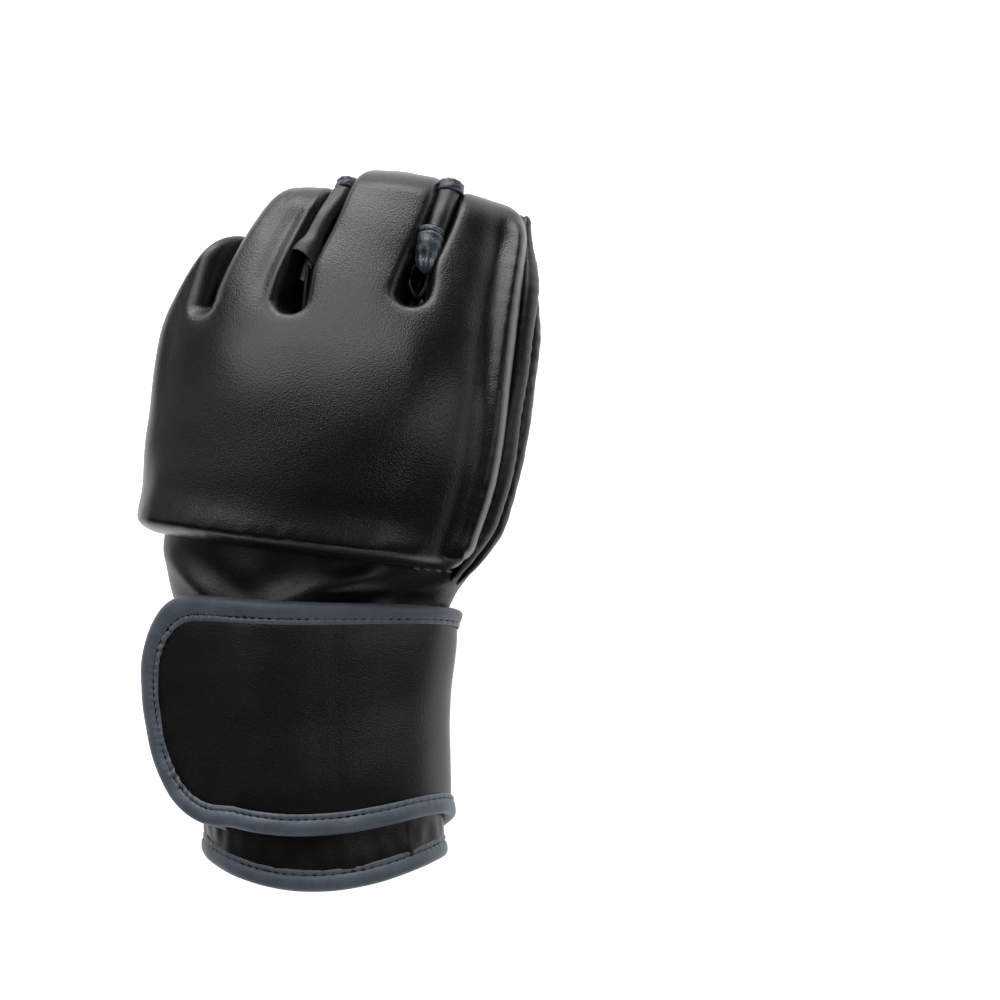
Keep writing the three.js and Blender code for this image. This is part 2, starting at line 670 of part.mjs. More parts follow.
/** The stops along the strap: even ones, then close ones round the free end. */
function strapStops(margin) {
  const round = FREE_END_ROUND - margin;
  const bend = strapLength - margin - round;
  const even = spread(0, bend, STRAP_ROWS);
  const turns = spread(0, Math.PI / 2, FREE_END_ROWS).slice(1);
  const closer = turns.map((turn) => bend + round * Math.sin(turn));
  return [...even, ...closer];
}

/** The strap and the binding along its edges and round its free end. */
function addStrap() {
  const inner = strapStops(STRAP_BINDING);
  const outer = strapStops(0);
  add('wrist_strap', slab({
    rows: inner.length - 1,
    columns: 1,
    point: (row, column, side) => strapPlace(
      inner[row],
      strapHalfBreadth(inner[row], STRAP_BINDING) * (column === 0 ? -1 : 1),
      side === 0 ? STRAP_HALF : -STRAP_HALF,
    ),
  }), BLACK);
  const hem = STRAP_BINDING - GAP;
  const hemStops = strapStops(hem);
  const edge = (stops, margin) => {
    const half = (distance) => strapHalfBreadth(distance, margin);
    const lower = stops.map((distance) => [distance, -half(distance)]);
    const upper = stops.map((distance) => [distance, half(distance)]).reverse();
    return [...lower, ...upper];
  };
  const outerEdge = edge(outer, 0);
  const innerEdge = edge(hemStops, hem);
  add('strap_binding', slab({
    rows: outerEdge.length - 1,
    columns: 1,
    point: (row, column, side) => strapPlace(
      ...(column === 0 ? outerEdge : innerEdge)[row],
      side === 0 ? STRAP_BINDING_HALF : -STRAP_BINDING_HALF,
    ),
  }), GRAY);
}

addPad();
addBack();
addPalm();
addFingerTubes();
addSideRolls();
addGrooveRods();
addCuff();
addStrap();

// The origin goes under the middle of the whole glove
const box = new THREE.Box3().setFromObject(glove);
const centre = box.getCenter(new THREE.Vector3());
glove.position.set(-centre.x, -centre.y, -box.min.z);

export default glove;
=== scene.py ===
"""Visual model of an open-finger kickboxing glove for the left hand, lying palm down.

The leather, bindings, rolls and lining are sewn goods, so each is a primitive sheet or tube
whose points are moved to the glove's own sleeve shape, in millimetres, and then given its wall.
"""
import logging
import math
from dataclasses import dataclass, field
from enum import Enum
from typing import Callable

import bpy
import numpy as np
from mathutils import Matrix


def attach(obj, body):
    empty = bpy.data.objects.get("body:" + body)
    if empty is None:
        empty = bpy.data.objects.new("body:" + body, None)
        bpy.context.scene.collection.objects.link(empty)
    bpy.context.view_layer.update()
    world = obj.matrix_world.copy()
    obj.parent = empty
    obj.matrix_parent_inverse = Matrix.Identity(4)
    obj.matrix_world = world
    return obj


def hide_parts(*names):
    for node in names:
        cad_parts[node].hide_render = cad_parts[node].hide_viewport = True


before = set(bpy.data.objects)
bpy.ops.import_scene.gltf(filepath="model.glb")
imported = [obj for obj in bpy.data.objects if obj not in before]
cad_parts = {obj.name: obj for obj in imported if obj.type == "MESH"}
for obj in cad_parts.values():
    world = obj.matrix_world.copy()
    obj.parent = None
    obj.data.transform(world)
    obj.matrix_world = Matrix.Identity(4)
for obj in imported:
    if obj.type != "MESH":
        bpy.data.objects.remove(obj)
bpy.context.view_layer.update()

MM = 0.001
LOG = logging.getLogger("glove")

Shape = Callable[[np.ndarray, np.ndarray], np.ndarray]
Colour = tuple[float, float, float]


class Round(Enum):
    """Whether a sheet's second direction joins up with itself."""

    OPEN = "open"
    JOINED = "joined"


class Slot(Enum):
    """The record's material slots."""

    LEATHER = "black_leather"
    BINDING = "gray_binding"
    KNIT = "knit_lining"


class Held(Enum):
    """How a sheet of leather or cloth is held."""

    STRETCHED = "stretched"
    FOLDED = "folded"


# Numbers and curves


def rise(distance: np.ndarray, breadth: float) -> np.ndarray:
    """The quarter-round rise of a padded edge.

    Args:
        distance: how far a point lies from the seam.
        breadth: how far from the seam the rise ends.

    Returns:
        0 at the seam to 1 past the breadth.
    """
    return np.sqrt(np.maximum(1 - (1 - np.clip(distance / breadth, 0, 1)) ** 2, 0))


def step(value: np.ndarray, low: float, high: float) -> np.ndarray:
    """A smooth step from 0 at low to 1 at high."""
    t = np.clip((value - low) / (high - low), 0, 1)
    return t * t * (3 - 2 * t)


def hump(value: np.ndarray, middle: float, width: float) -> np.ndarray:
    """A rounded hump of height 1 at the middle."""
    return np.exp(-(((value - middle) / width) ** 2))


def mix(a: np.ndarray | float, b: np.ndarray | float, share: np.ndarray | float) -> np.ndarray:
    """A value between a and b."""
    return a + (b - a) * share


def crowd(share: np.ndarray, strength: float = 0.55) -> np.ndarray:
    """Spreads even shares so that they crowd at both ends."""
    return strength * (0.5 - 0.5 * np.cos(np.pi * share)) + (1 - strength) * share


def uneven(x: np.ndarray, y: np.ndarray, size: float, seed: int) -> np.ndarray:
    """Soft seeded unevenness.

    Args:
        x: the first coordinate, in mm.
        y: the second coordinate, in mm.
        size: the usual length of a wave, in mm.
        seed: number that fixes the waves.

    Returns:
        Values from about -1 to 1.
    """
    waves, spread = 7, 2.6
    maker = np.random.default_rng(seed)
    total = np.zeros(np.broadcast(x, y).shape)
    for _ in range(waves):
        heading, phase = maker.uniform(0, 2 * np.pi, 2)
        pace = 2 * np.pi / size * maker.uniform(0.6, 1.4)
        total += np.sin(pace * (x * np.cos(heading) + y * np.sin(heading)) + phase)
    return total / spread


def through(controls: np.ndarray, at: np.ndarray) -> np.ndarray:
    """A smooth curve through evenly numbered points.

    Args:
        controls: the points, one in a row.
        at: places along it, from 0 to 1.

    Returns:
        One point for each place.
    """
    last = len(controls) - 1
    place_at = np.clip(at, 0, 1) * last
    before = np.clip(np.floor(place_at).astype(int), 0, last - 1)
    t = (place_at - before)[..., None]
    a, b = controls[np.maximum(before - 1, 0)], controls[before]
    c, d = controls[before + 1], controls[np.minimum(before + 2, last)]
    return 0.5 * (2 * b + (c - a) * t + (2 * a - 5 * b + 4 * c - d) * t**2 + (3 * b - a - 3 * c + d) * t**3)


def lengths(points: np.ndarray) -> np.ndarray:
    """The distance along a line of points, from its first."""
    return np.concatenate([[0], np.cumsum(np.linalg.norm(np.diff(points, axis=0), axis=1))])


def along_line(points: np.ndarray, share: np.ndarray) -> np.ndarray:
    """Points at even shares of a line's length."""
    run = lengths(points)
    return np.stack([np.interp(share * run[-1], run, points[:, k]) for k in range(points.shape[1])], axis=-1)


def unit(vectors: np.ndarray) -> np.ndarray:
    """Vectors of length 1."""
    return vectors / np.maximum(np.linalg.norm(vectors, axis=-1, keepdims=True), 1e-9)


# The sleeve


@dataclass(frozen=True)
class Sleeve:
    """The hand's sleeve: oval sections swept along a back line that leans and curls, in mm.

    Angles run from the thumb side at 0 over the back at 90 to the little finger's side at 180;
    the palm side has negative angles, or angles past 180.
    """

    back_height: float = 50
    least_height: float = 4.3
    lowest: float = 0.65
    lean: float = 7
    lean_run: tuple[float, float] = (80, 112)
    curl: float = 28.2
    curl_run: tuple[float, float] = (128, 228)
    to_frame: tuple[float, float, float] = (-4.266064, -117.868561, 0.0)
    line_length: int = 250
    palm_reach: float = 0.995
    # along, half width, rise of the back, drop of the palm, shift to the side
    sections: tuple[tuple[float, ...], ...] = (
        (0, 40.5, 23, 26, -3),
        (45, 39.4, 23.5, 25.5, -4.4),
        (82, 43.9, 23, 24.8, -7.1),
        (98, 49.2, 22.5, 23, -8.2),
        (112, 53.5, 21.5, 21.5, -5.8),
        (140, 54, 20, 19, 0),
        (175, 55, 18, 16, 0),
        (205, 53.4, 17, 12, 0),
        (240, 49.5, 16, 10, 0),
    )

    def section(self, column: int, along: np.ndarray) -> np.ndarray:
        """A smooth value of one column of the sections.

        Args:
            column: the column's number.
            along: places along the sleeve, in mm.

        Returns:
            The value at each place.
        """
        table = np.array(self.sections)
        stops, values = table[:, 0], table[:, column]
        last = len(stops) - 1
        after = np.minimum(np.arange(last + 1) + 1, last)
        before = np.maximum(np.arange(last + 1) - 1, 0)
        slopes = (values[after] - values[before]) / (stops[after] - stops[before])
        at = np.clip(along, stops[0], stops[-1])
        row = np.clip(np.searchsorted(stops, at, side="left") - 1, 0, last - 1)
        span = stops[row + 1] - stops[row]
        t = (at - stops[row]) / span
        return (
            values[row] * (1 + 2 * t) * (1 - t) ** 2
            + values[row + 1] * (3 - 2 * t) * t**2
            + slopes[row] * span * t * (1 - t) ** 2
            + slopes[row + 1] * span * t**2 * (t - 1)
        )

    def axes(self, along: np.ndarray) -> tuple[np.ndarray, np.ndarray, np.ndarray]:
        """The directions across, along and out of the back."""
        lean = math.radians(self.lean) * step(along, *self.lean_run)
        curl = math.radians(self.curl) * step(along, *self.curl_run)
        right = np.stack([np.cos(lean), -np.sin(lean), np.zeros_like(lean)], axis=-1)
        forward = np.stack([np.sin(lean) * np.cos(curl), np.cos(lean) * np.cos(curl), -np.sin(curl)], axis=-1)
        return right, forward, np.cross(right, forward)

    def back_line(self) -> np.ndarray:
        """The line along the back, one point for each millimetre."""
        halfway = np.arange(self.line_length) + 0.5
        start = np.array([[0, 0, self.back_height]])
        return np.concatenate([start, start + np.cumsum(self.axes(halfway)[1], axis=0)])

    def place(self, along: np.ndarray, angle: np.ndarray, height: np.ndarray) -> np.ndarray:
        """Points of the sleeve, in mm in the part's frame.

        Args:
            along: places along the sleeve.
            angle: angles round it, in degrees.
            height: distances off its surface.

        Returns:
            One point for each place.
        """
        along, angle, height = np.broadcast_arrays(*(np.asarray(v, float) for v in (along, angle, height)))
        right, _, up = self.axes(along)
        half, back, palm, side = (self.section(column, along) for column in (1, 2, 3, 4))
        turn = np.radians(angle)
        reach = np.where(np.sin(turn) > 0, back, palm)
        normal = unit(np.stack([np.cos(turn) / half, np.sin(turn) / reach], axis=-1))
        across = side + half * np.cos(turn) + height * normal[..., 0]
        lift = reach * np.sin(turn) + height * normal[..., 1]
        line = self.back_line()
        first = np.clip(np.floor(along).astype(int), 0, len(line) - 2)
        share = (along - first)[..., None]
        middle = line[first] * (1 - share) + line[first + 1] * share
        point = middle + right * across[..., None] + up * (lift - back)[..., None]
        point[..., 2] = np.maximum(point[..., 2], np.maximum(self.least_height - height, self.lowest))
        return point + np.array(self.to_frame)

    def palm_place(self, across: np.ndarray, along: np.ndarray, height: np.ndarray) -> np.ndarray:
        """Points on the palm side from mm across and along, and off the leather."""
        turn = np.arccos(np.clip(across / self.section(1, along), -self.palm_reach, self.palm_reach))
        return self.place(along, -np.degrees(turn), height)

    def outward(self, along: np.ndarray, angle: np.ndarray) -> np.ndarray:
        """The direction out of the sleeve's surface."""
        return unit(self.place(along, angle, 1.0) - self.place(along, angle, 0.0))

    def swept(
        self, along: np.ndarray, angle: np.ndarray, height: np.ndarray, radius: np.ndarray,
        turn: np.ndarray, flat: float = 1.0,
    ) -> np.ndarray:
        """Points round a roll that runs along the sleeve.

        Args:
            along: places of its middle along the sleeve.
            angle: angles of its middle, in degrees.
            height: distances of its middle off the sleeve.
            radius: its radius.
            turn: angles round it, in radians.
            flat: how many times broader it is than a round one, and lower.

        Returns:
            One point for each place.
        """
        base = self.place(along, angle, height)
        out = self.outward(along, angle)
        side = unit(np.cross(self.axes(along)[1], out))
        across, lift = radius * flat * np.cos(turn), radius / flat * np.sin(turn)
        return base + side * across[:, None] + out * lift[:, None]


@dataclass(frozen=True)
class Finger:
    """One finger's place round the sleeve and the size of its tube, in degrees and mm."""

    name: str
    start: float
    stop: float
    lobe_end: float
    rim: float
    tube_angle: float
    half_width: float
    half_depth: float


FINGERS = (
    Finger("index", 24, 65, 235, 237, 40, 13.9, 11.3),
    Finger("middle", 67, 102.5, 238, 243, 84.5, 15, 11.7),
    Finger("ring", 104.5, 133, 229.5, 234, 118.3, 11.7, 11.2),
    Finger("pinky", 135, 165, 212, 215, 157, 8.5, 8.2),
)


# The bench that pieces are made on


class Bench:
    """Adds primitives, shapes them and hands them to the frame."""

    SHARE = "cut_share"
    WELD = 2e-6
    # the bend, for each metre, that counts as fully proud: full rubbing on most leathers, and the full
    # painted highlight on the gathered binding's pleats
    SHARPEST = 350

    @staticmethod
    def pick(piece: bpy.types.Object | None) -> None:
        """Deselects everything and then selects one piece."""
        bpy.ops.object.select_all(action="DESELECT")
        if piece is not None:
            piece.select_set(True)
            bpy.context.view_layer.objects.active = piece

    @staticmethod
    def points(piece: bpy.types.Object) -> np.ndarray:
        """A piece's points, in metres."""
        flat = np.empty(len(piece.data.vertices) * 3)
        piece.data.vertices.foreach_get("co", flat)
        return flat.reshape(-1, 3)

    @staticmethod
    def move_points(piece: bpy.types.Object, points: np.ndarray) -> None:
        """Moves a piece's points to these places, in metres."""
        piece.data.vertices.foreach_set("co", np.ascontiguousarray(points, dtype=np.float32).ravel())
        piece.data.update()

    @classmethod
    def shares(cls, piece: bpy.types.Object) -> np.ndarray:
        """Each point's place in the flat cut, two shares in a row."""
        flat = np.empty(len(piece.data.vertices) * 3)
        piece.data.attributes[cls.SHARE].data.foreach_get("vector", flat)
        return flat.reshape(-1, 3)[:, :2].astype(float)

    @classmethod
    def sheet(
        cls,
        name: str,
        rows: int,
        columns: int,
        shape: Shape,
        joined: Round = Round.OPEN,
        keep: Callable[[np.ndarray, np.ndarray], np.ndarray] | None = None,
    ) -> bpy.types.Object:
        """Adds a flat grid and moves its points to a shape.

        Args:
            name: the piece's name.
            rows: cells in the first direction.
            columns: cells in the second direction.
            shape: gives the points, in mm, from the shares of the two directions.
            joined: whether the second direction joins up with itself.
            keep: says from a cell's shares whether it stays.

        Returns:
            The piece.
        """
        cls.pick(None)
        bpy.ops.mesh.primitive_grid_add(x_subdivisions=rows, y_subdivisions=columns, size=2, calc_uvs=True)
        piece = bpy.context.active_object
        piece.name = piece.data.name = name
        counts = np.array([rows, columns])
        share = np.rint((cls.points(piece)[:, :2] + 1) / 2 * counts) / counts
        attribute = piece.data.attributes.new(cls.SHARE, "FLOAT_VECTOR", "POINT")
        attribute.data.foreach_set("vector", np.c_[share, np.zeros(len(share))].astype(np.float32).ravel())
        if keep is not None:
            centres = np.empty(len(piece.data.polygons) * 3)
            piece.data.polygons.foreach_get("center", centres)
            middle = (centres.reshape(-1, 3)[:, :2] + 1) / 2
            cls.cut_away(piece, ~keep(middle[:, 0], middle[:, 1]))
        share = np.rint(cls.shares(piece) * counts) / counts
        cls.move_points(piece, shape(share[:, 0], share[:, 1]) * MM)
        if joined is Round.JOINED:
            cls.merge(piece)
        return piece

    @classmethod
    def cut_away(cls, piece: bpy.types.Object, faces: np.ndarray) -> None:
        """Deletes faces, given as one truth value for each."""
        mesh = piece.data
        mesh.vertices.foreach_set("select", np.zeros(len(mesh.vertices), bool))
        mesh.edges.foreach_set("select", np.zeros(len(mesh.edges), bool))
        mesh.polygons.foreach_set("select", faces)
        bpy.context.tool_settings.mesh_select_mode = (False, False, True)
        cls.pick(piece)
        bpy.ops.object.mode_set(mode="EDIT")
        bpy.ops.mesh.delete(type="FACE")
        bpy.ops.object.mode_set(mode="OBJECT")

    @classmethod
    def merge(cls, piece: bpy.types.Object) -> None:
        """Joins points that lie on each other, as at a seam or a pole."""
        cls.pick(piece)
        bpy.ops.object.mode_set(mode="EDIT")
        bpy.ops.mesh.select_all(action="SELECT")
        bpy.ops.mesh.remove_doubles(threshold=cls.WELD)
        bpy.ops.object.mode_set(mode="OBJECT")

    @classmethod
    def apply(cls, piece: bpy.types.Object, kind: str, **settings: object) -> None:
        """Adds a modifier with its settings and applies it."""
        cls.pick(piece)
        modifier = piece.modifiers.new(kind.lower(), kind)
        for key, value in settings.items():
            setattr(modifier, key, value)
        bpy.ops.object.modifier_apply(modifier=modifier.name)

    @classmethod
    def wall(
        cls, piece: bpy.types.Object, thickness: float, inner: Shape | None = None, inner_slot: int = 0
    ) -> None:
        """Gives a sheet its wall.

        Args:
            piece: the sheet, which is the outer face.
            thickness: the wall's thickness, in mm.
            inner: the inner face's points, where they aren't just the thickness away.
            inner_slot: how many material slots further the inner face's material is.
        """
        count = len(piece.data.vertices)
        cls.apply(
            piece,
            "SOLIDIFY",
            thickness=thickness * MM,
            offset=-1,
            use_even_offset=False,
            material_offset=inner_slot,
        )
        if inner is not None:
            points, share = cls.points(piece), cls.shares(piece)[count:]
            points[count:] = inner(share[:, 0], share[:, 1]) * MM
            cls.move_points(piece, points)

    @classmethod
    def soften(cls, piece: bpy.types.Object, width: float, angle: float = 55) -> None:
        """Rounds the edges that are sharper than an angle, by a width in mm."""
        cls.apply(
            piece,
            "BEVEL",
            width=width * MM,
            segments=2,
            limit_method="ANGLE",
            angle_limit=math.radians(angle),
            use_clamp_overlap=True,
        )

    @classmethod
    def finish(cls, piece: bpy.types.Object, smooth_angle: float = 60) -> None:
        """Turns the faces out, smooths them and notes where the surface is proud: rubbing on most leathers,
        painted highlights on the gathered binding's pleats.
        """
        mesh = piece.data
        mesh.calc_loop_triangles()
        corners = np.empty(len(mesh.loop_triangles) * 3, dtype=np.int32)
        mesh.loop_triangles.foreach_get("vertices", corners)
        a, b, c = (cls.points(piece)[corners.reshape(-1, 3)[:, k]] for k in range(3))
        cls.pick(piece)
        if float((a * np.cross(b, c)).sum()) < 0:
            bpy.ops.object.mode_set(mode="EDIT")
            bpy.ops.mesh.select_all(action="SELECT")
            bpy.ops.mesh.flip_normals()
            bpy.ops.object.mode_set(mode="OBJECT")
        bpy.ops.object.shade_smooth_by_angle(angle=math.radians(smooth_angle))
        cls.note_proudness(piece)

    @classmethod
    def note_proudness(cls, piece: bpy.types.Object) -> None:
        """Stores how far each point stands proud of its neighbours, from 0 to 1."""
        mesh, points = piece.data, cls.points(piece)
        normals = np.empty(len(mesh.vertices) * 3)
        mesh.vertices.foreach_get("normal", normals)
        normals = normals.reshape(-1, 3)
        ends = np.empty(len(mesh.edges) * 2, dtype=np.int32)
        mesh.edges.foreach_get("vertices", ends)
        one, two = ends.reshape(-1, 2).T
        run = points[one] - points[two]
        length = np.maximum(np.linalg.norm(run, axis=1), 1e-9)
        bend, count = np.zeros(len(points)), np.zeros(len(points))
        for near, sign in ((one, 1), (two, -1)):
            np.add.at(bend, near, sign * (normals[near] * run).sum(axis=1) / length**2)
            np.add.at(count, near, 1)
        worn_and_sheen = np.clip(bend / np.maximum(count, 1) / cls.SHARPEST, 0, 1)
        attribute = mesh.attributes.new("proudness", "FLOAT", "POINT")
        attribute.data.foreach_set("value", worn_and_sheen.astype(np.float32))

    @staticmethod
    def show(piece: bpy.types.Object, slot: Slot, *nodes: str) -> None:
        """Lets a piece ride on the body and hides the CAD nodes that it stands for."""
        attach(piece, "root")
        if nodes:
            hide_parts(*nodes)
        LOG.info("%s: %d faces", piece.name, len(piece.data.polygons))

    @classmethod
    def complete(
        cls, piece: bpy.types.Object, slot: Slot, materials: tuple[bpy.types.Material, ...], *nodes: str,
        smooth_angle: float = 60,
    ) -> None:
        """Finishes, dresses and shows a piece.

        Args:
            piece: the piece.
            slot: its material slot in the record; not used.
            materials: its materials.
            nodes: the CAD nodes that it stands for.
            smooth_angle: the sharpest angle that is still shaded smooth, in degrees.
        """
        cls.finish(piece, smooth_angle)
        cls.dress(piece, *materials)
        cls.show(piece, slot, *nodes)

    @staticmethod
    def dress(piece: bpy.types.Object, *materials: bpy.types.Material) -> None:
        """Gives a piece its materials."""
        for material in materials:
            piece.data.materials.append(material)


@dataclass(frozen=True)
class Thread:
    """Sewing thread: one stitch, copied along a seam, in mm and degrees."""

    pitch: float = 2.6
    length: float = 2.25
    half_width: float = 0.5
    half_height: float = 0.4
    tilt: float = 9
    tilt_spread: float = 5
    side_spread: float = 0.08
    sag: float = 0.5

    def sew(
        self, name: str, line: np.ndarray, outward: np.ndarray, seed: int, material: bpy.types.Material
    ) -> None:
        """Makes a row of stitches, as one piece.

        Args:
            name: the row's name.
            line: points along the seam, in mm, close together.
            outward: the surface's outward direction at each of them.
            seed: number that fixes the small differences between stitches.
            material: the thread's material.
        """
        run = lengths(line)
        count = max(int(run[-1] / self.pitch), 1)
        middles = (np.arange(count) + 0.5) * run[-1] / count

        def sample(values: np.ndarray, at: np.ndarray) -> np.ndarray:
            """Values that belong to the line's points, at distances along it."""
            return np.stack([np.interp(at, run, values[:, k]) for k in range(3)], axis=-1)

        centre, out = sample(line, middles), unit(sample(outward, middles))
        ahead = unit(sample(line, middles + self.length / 2) - sample(line, middles - self.length / 2))
        side = unit(np.cross(ahead, out))
        maker = np.random.default_rng(seed)
        copies = []
        model = self.one_stitch()
        for k in range(count):
            turn = math.radians(self.tilt + maker.uniform(-self.tilt_spread, self.tilt_spread))
            forward = ahead[k] * math.cos(turn) + side[k] * math.sin(turn)
            across = side[k] * math.cos(turn) - ahead[k] * math.sin(turn)
            axes = np.stack([forward, across, np.cross(forward, across)], axis=1)
            spot = Matrix(axes.tolist()).to_4x4()
            aside = side[k] * maker.uniform(-self.side_spread, self.side_spread)
            spot.translation = ((centre[k] + aside) * MM).tolist()
            copy = model.copy()
            copy.data = model.data.copy()
            copy.data.transform(spot)
            bpy.context.collection.objects.link(copy)
            copies.append(copy)
        bpy.data.objects.remove(model)
        Bench.pick(copies[0])
        for copy in copies:
            copy.select_set(True)
        if count > 1:
            bpy.ops.object.join()
        row = bpy.context.active_object
        row.name = row.data.name = name
        bpy.ops.object.shade_smooth()
        Bench.dress(row, material)
        Bench.show(row, Slot.LEATHER)

    def one_stitch(self) -> bpy.types.Object:
        """A single stitch along X."""
        Bench.pick(None)
        bpy.ops.mesh.primitive_uv_sphere_add(segments=6, ring_count=5, radius=1, rotation=(0, math.pi / 2, 0))
        stitch = bpy.context.active_object
        bpy.ops.object.transform_apply(location=True, rotation=True, scale=True)
        size = np.array([self.length / 2, self.half_width, self.half_height]) * MM
        points = Bench.points(stitch)
        points[:, 2] -= self.sag * points[:, 0] ** 2
        Bench.move_points(stitch, points * size)
        return stitch


@dataclass(frozen=True)
class Tape:
    """An edge binding: a tape folded over the edge of the leather and sewn through."""

    width: float
    half: float
    cloth: float = 0.55
    stitch_share: float = 0.78
    puff: float = 0.16
    pull_breadth: float = 1.1
    stitch_lift: float = 0.8
    cell: float = 0.7
    thread: Thread = Thread()
    # share of the width from the folded edge, and share of the half thickness
    fold: tuple[tuple[float, float], ...] = (
        (0.0, 0.0), (0.022, 0.52), (0.1, 0.9), (0.24, 1.1), (0.4, 1.14), (0.54, 1.1),
        (0.66, 0.94), (0.74, 0.6), (0.79, 0.52), (0.86, 0.8), (0.94, 0.88), (1.0, 0.7),
    )

    def section(self, across: np.ndarray) -> tuple[np.ndarray, np.ndarray]:
        """The tape's section.

        Args:
            across: -1 at one edge, 0 at the fold, 1 at the other edge.

        Returns:
            The distance from the folded edge and the height off the middle, in mm.
        """
        half_section = through(np.array(self.fold), np.abs(across))
        return half_section[..., 0] * self.width, half_section[..., 1] * self.half * np.sign(across)

    def cut_width(self) -> float:
        """The width of the flat tape, in mm."""
        inward, height = self.section(np.linspace(-1, 1, 80))
        return float(lengths(np.stack([inward, height], axis=-1))[-1])

    def declare(self, piece: bpy.types.Object, length: float, under: str) -> None:
        """Works out the tape's cut width in metres and keeps nothing."""
        self.cut_width() * MM

    def puffed(self, run: np.ndarray, inward: np.ndarray, height: np.ndarray) -> np.ndarray:
        """The height with the leather pulled in at each stitch."""
        seam = hump(inward, self.stitch_share * self.width, self.pull_breadth)
        return height + np.sign(height) * self.puff * seam * np.cos(2 * np.pi * run / self.thread.pitch)


# Finishes


class Wire:
    """A node's socket that takes part in sums."""

    def __init__(self, recipe: "Recipe", socket: bpy.types.NodeSocket) -> None:
        """Keeps the recipe that the socket belongs to."""
        self.recipe, self.socket = recipe, socket

    def sum_with(self, operation: str, first: object, second: object) -> "Wire":
        """A Math node of two values."""
        return self.recipe.node("ShaderNodeMath", {"operation": operation}, {0: first, 1: second})

    def __add__(self, other: object) -> "Wire":
        """This plus another."""
        return self.sum_with("ADD", self, other)

    def __radd__(self, other: object) -> "Wire":
        """Another plus this."""
        return self.sum_with("ADD", other, self)

    def __sub__(self, other: object) -> "Wire":
        """This less another."""
        return self.sum_with("SUBTRACT", self, other)

    def __rsub__(self, other: object) -> "Wire":
        """Another less this."""
        return self.sum_with("SUBTRACT", other, self)

    def __mul__(self, other: object) -> "Wire":
        """This times another."""
        return self.sum_with("MULTIPLY", self, other)

    def __rmul__(self, other: object) -> "Wire":
        """Another times this."""
        return self.sum_with("MULTIPLY", other, self)

    def sine(self) -> "Wire":
        """The sine of this."""
        return self.sum_with("SINE", self, 0.0)

    def size(self) -> "Wire":
        """This without its sign."""
        return self.sum_with("ABSOLUTE", self, 0.0)


class Recipe:
    """The node tree of one material."""

    def __init__(self, name: str) -> None:
        """Starts a material with a single shader."""
        self.material = bpy.data.materials.new(name)
        self.material.use_nodes = True
        self.tree = self.material.node_tree
        self.shader = next(n for n in self.tree.nodes if n.type == "BSDF_PRINCIPLED")

    def node(
        self, kind: str, settings: dict | None = None, inputs: dict | None = None, out: int | str = 0
    ) -> Wire:
        """Adds a node.

        Args:
            kind: the node's type.
            settings: its properties, set first.
            inputs: values or wires for its sockets, by name or number.
            out: the output that is wanted.

        Returns:
            The output's wire.
        """
        made = self.tree.nodes.new(kind)
        for key, value in (settings or {}).items():
            setattr(made, key, value)
        for key, value in (inputs or {}).items():
            self.feed(made.inputs[key], value)
        return Wire(self, made.outputs[out])

    def feed(self, socket: bpy.types.NodeSocket, value: object) -> None:
        """Sets a socket to a value or links a wire to it."""
        if isinstance(value, Wire):
            self.tree.links.new(value.socket, socket)
        else:
            socket.default_value = value

    def shade(self, values: dict) -> bpy.types.Material:
        """Feeds the shader and gives the material."""
        for key, value in values.items():
            self.feed(self.shader.inputs[key], value)
        return self.material

    def spot(self) -> Wire:
        """The place on the object, in metres."""
        return self.node("ShaderNodeTexCoord", out="Object")

    def noise(self, vector: Wire, scale: float, detail: float = 3, roughness: float = 0.5) -> Wire:
        """Noise of a scale."""
        inputs = {"Vector": vector, "Scale": scale, "Detail": detail, "Roughness": roughness}
        return self.node("ShaderNodeTexNoise", {}, inputs)

    @staticmethod
    def opaque(value: object) -> object:
        """A plain colour with its alpha, or a wire as it is."""
        return (*value, 1.0) if isinstance(value, tuple) else value

    def between(self, share: object, first: object, second: object) -> Wire:
        """A colour between two."""
        inputs = {0: share, 6: self.opaque(first), 7: self.opaque(second)}
        return self.node("ShaderNodeMix", {"data_type": "RGBA"}, inputs, out=2)

    def ramp(self, value: Wire, low: float, high: float, start: float = 0.0, stop: float = 1.0) -> Wire:
        """A value spread from low..high to start..stop and held there."""
        return self.node("ShaderNodeMapRange", {}, {0: value, 1: low, 2: high, 3: start, 4: stop})

    def bump(self, height: Wire, depth: float, strength: float = 1.0, normal: Wire | None = None) -> Wire:
        """A bump of a depth in metres, on another where one is given."""
        inputs = {"Height": height, "Distance": depth, "Strength": strength}
        if normal is not None:
            inputs["Normal"] = normal
        return self.node("ShaderNodeBump", {}, inputs)


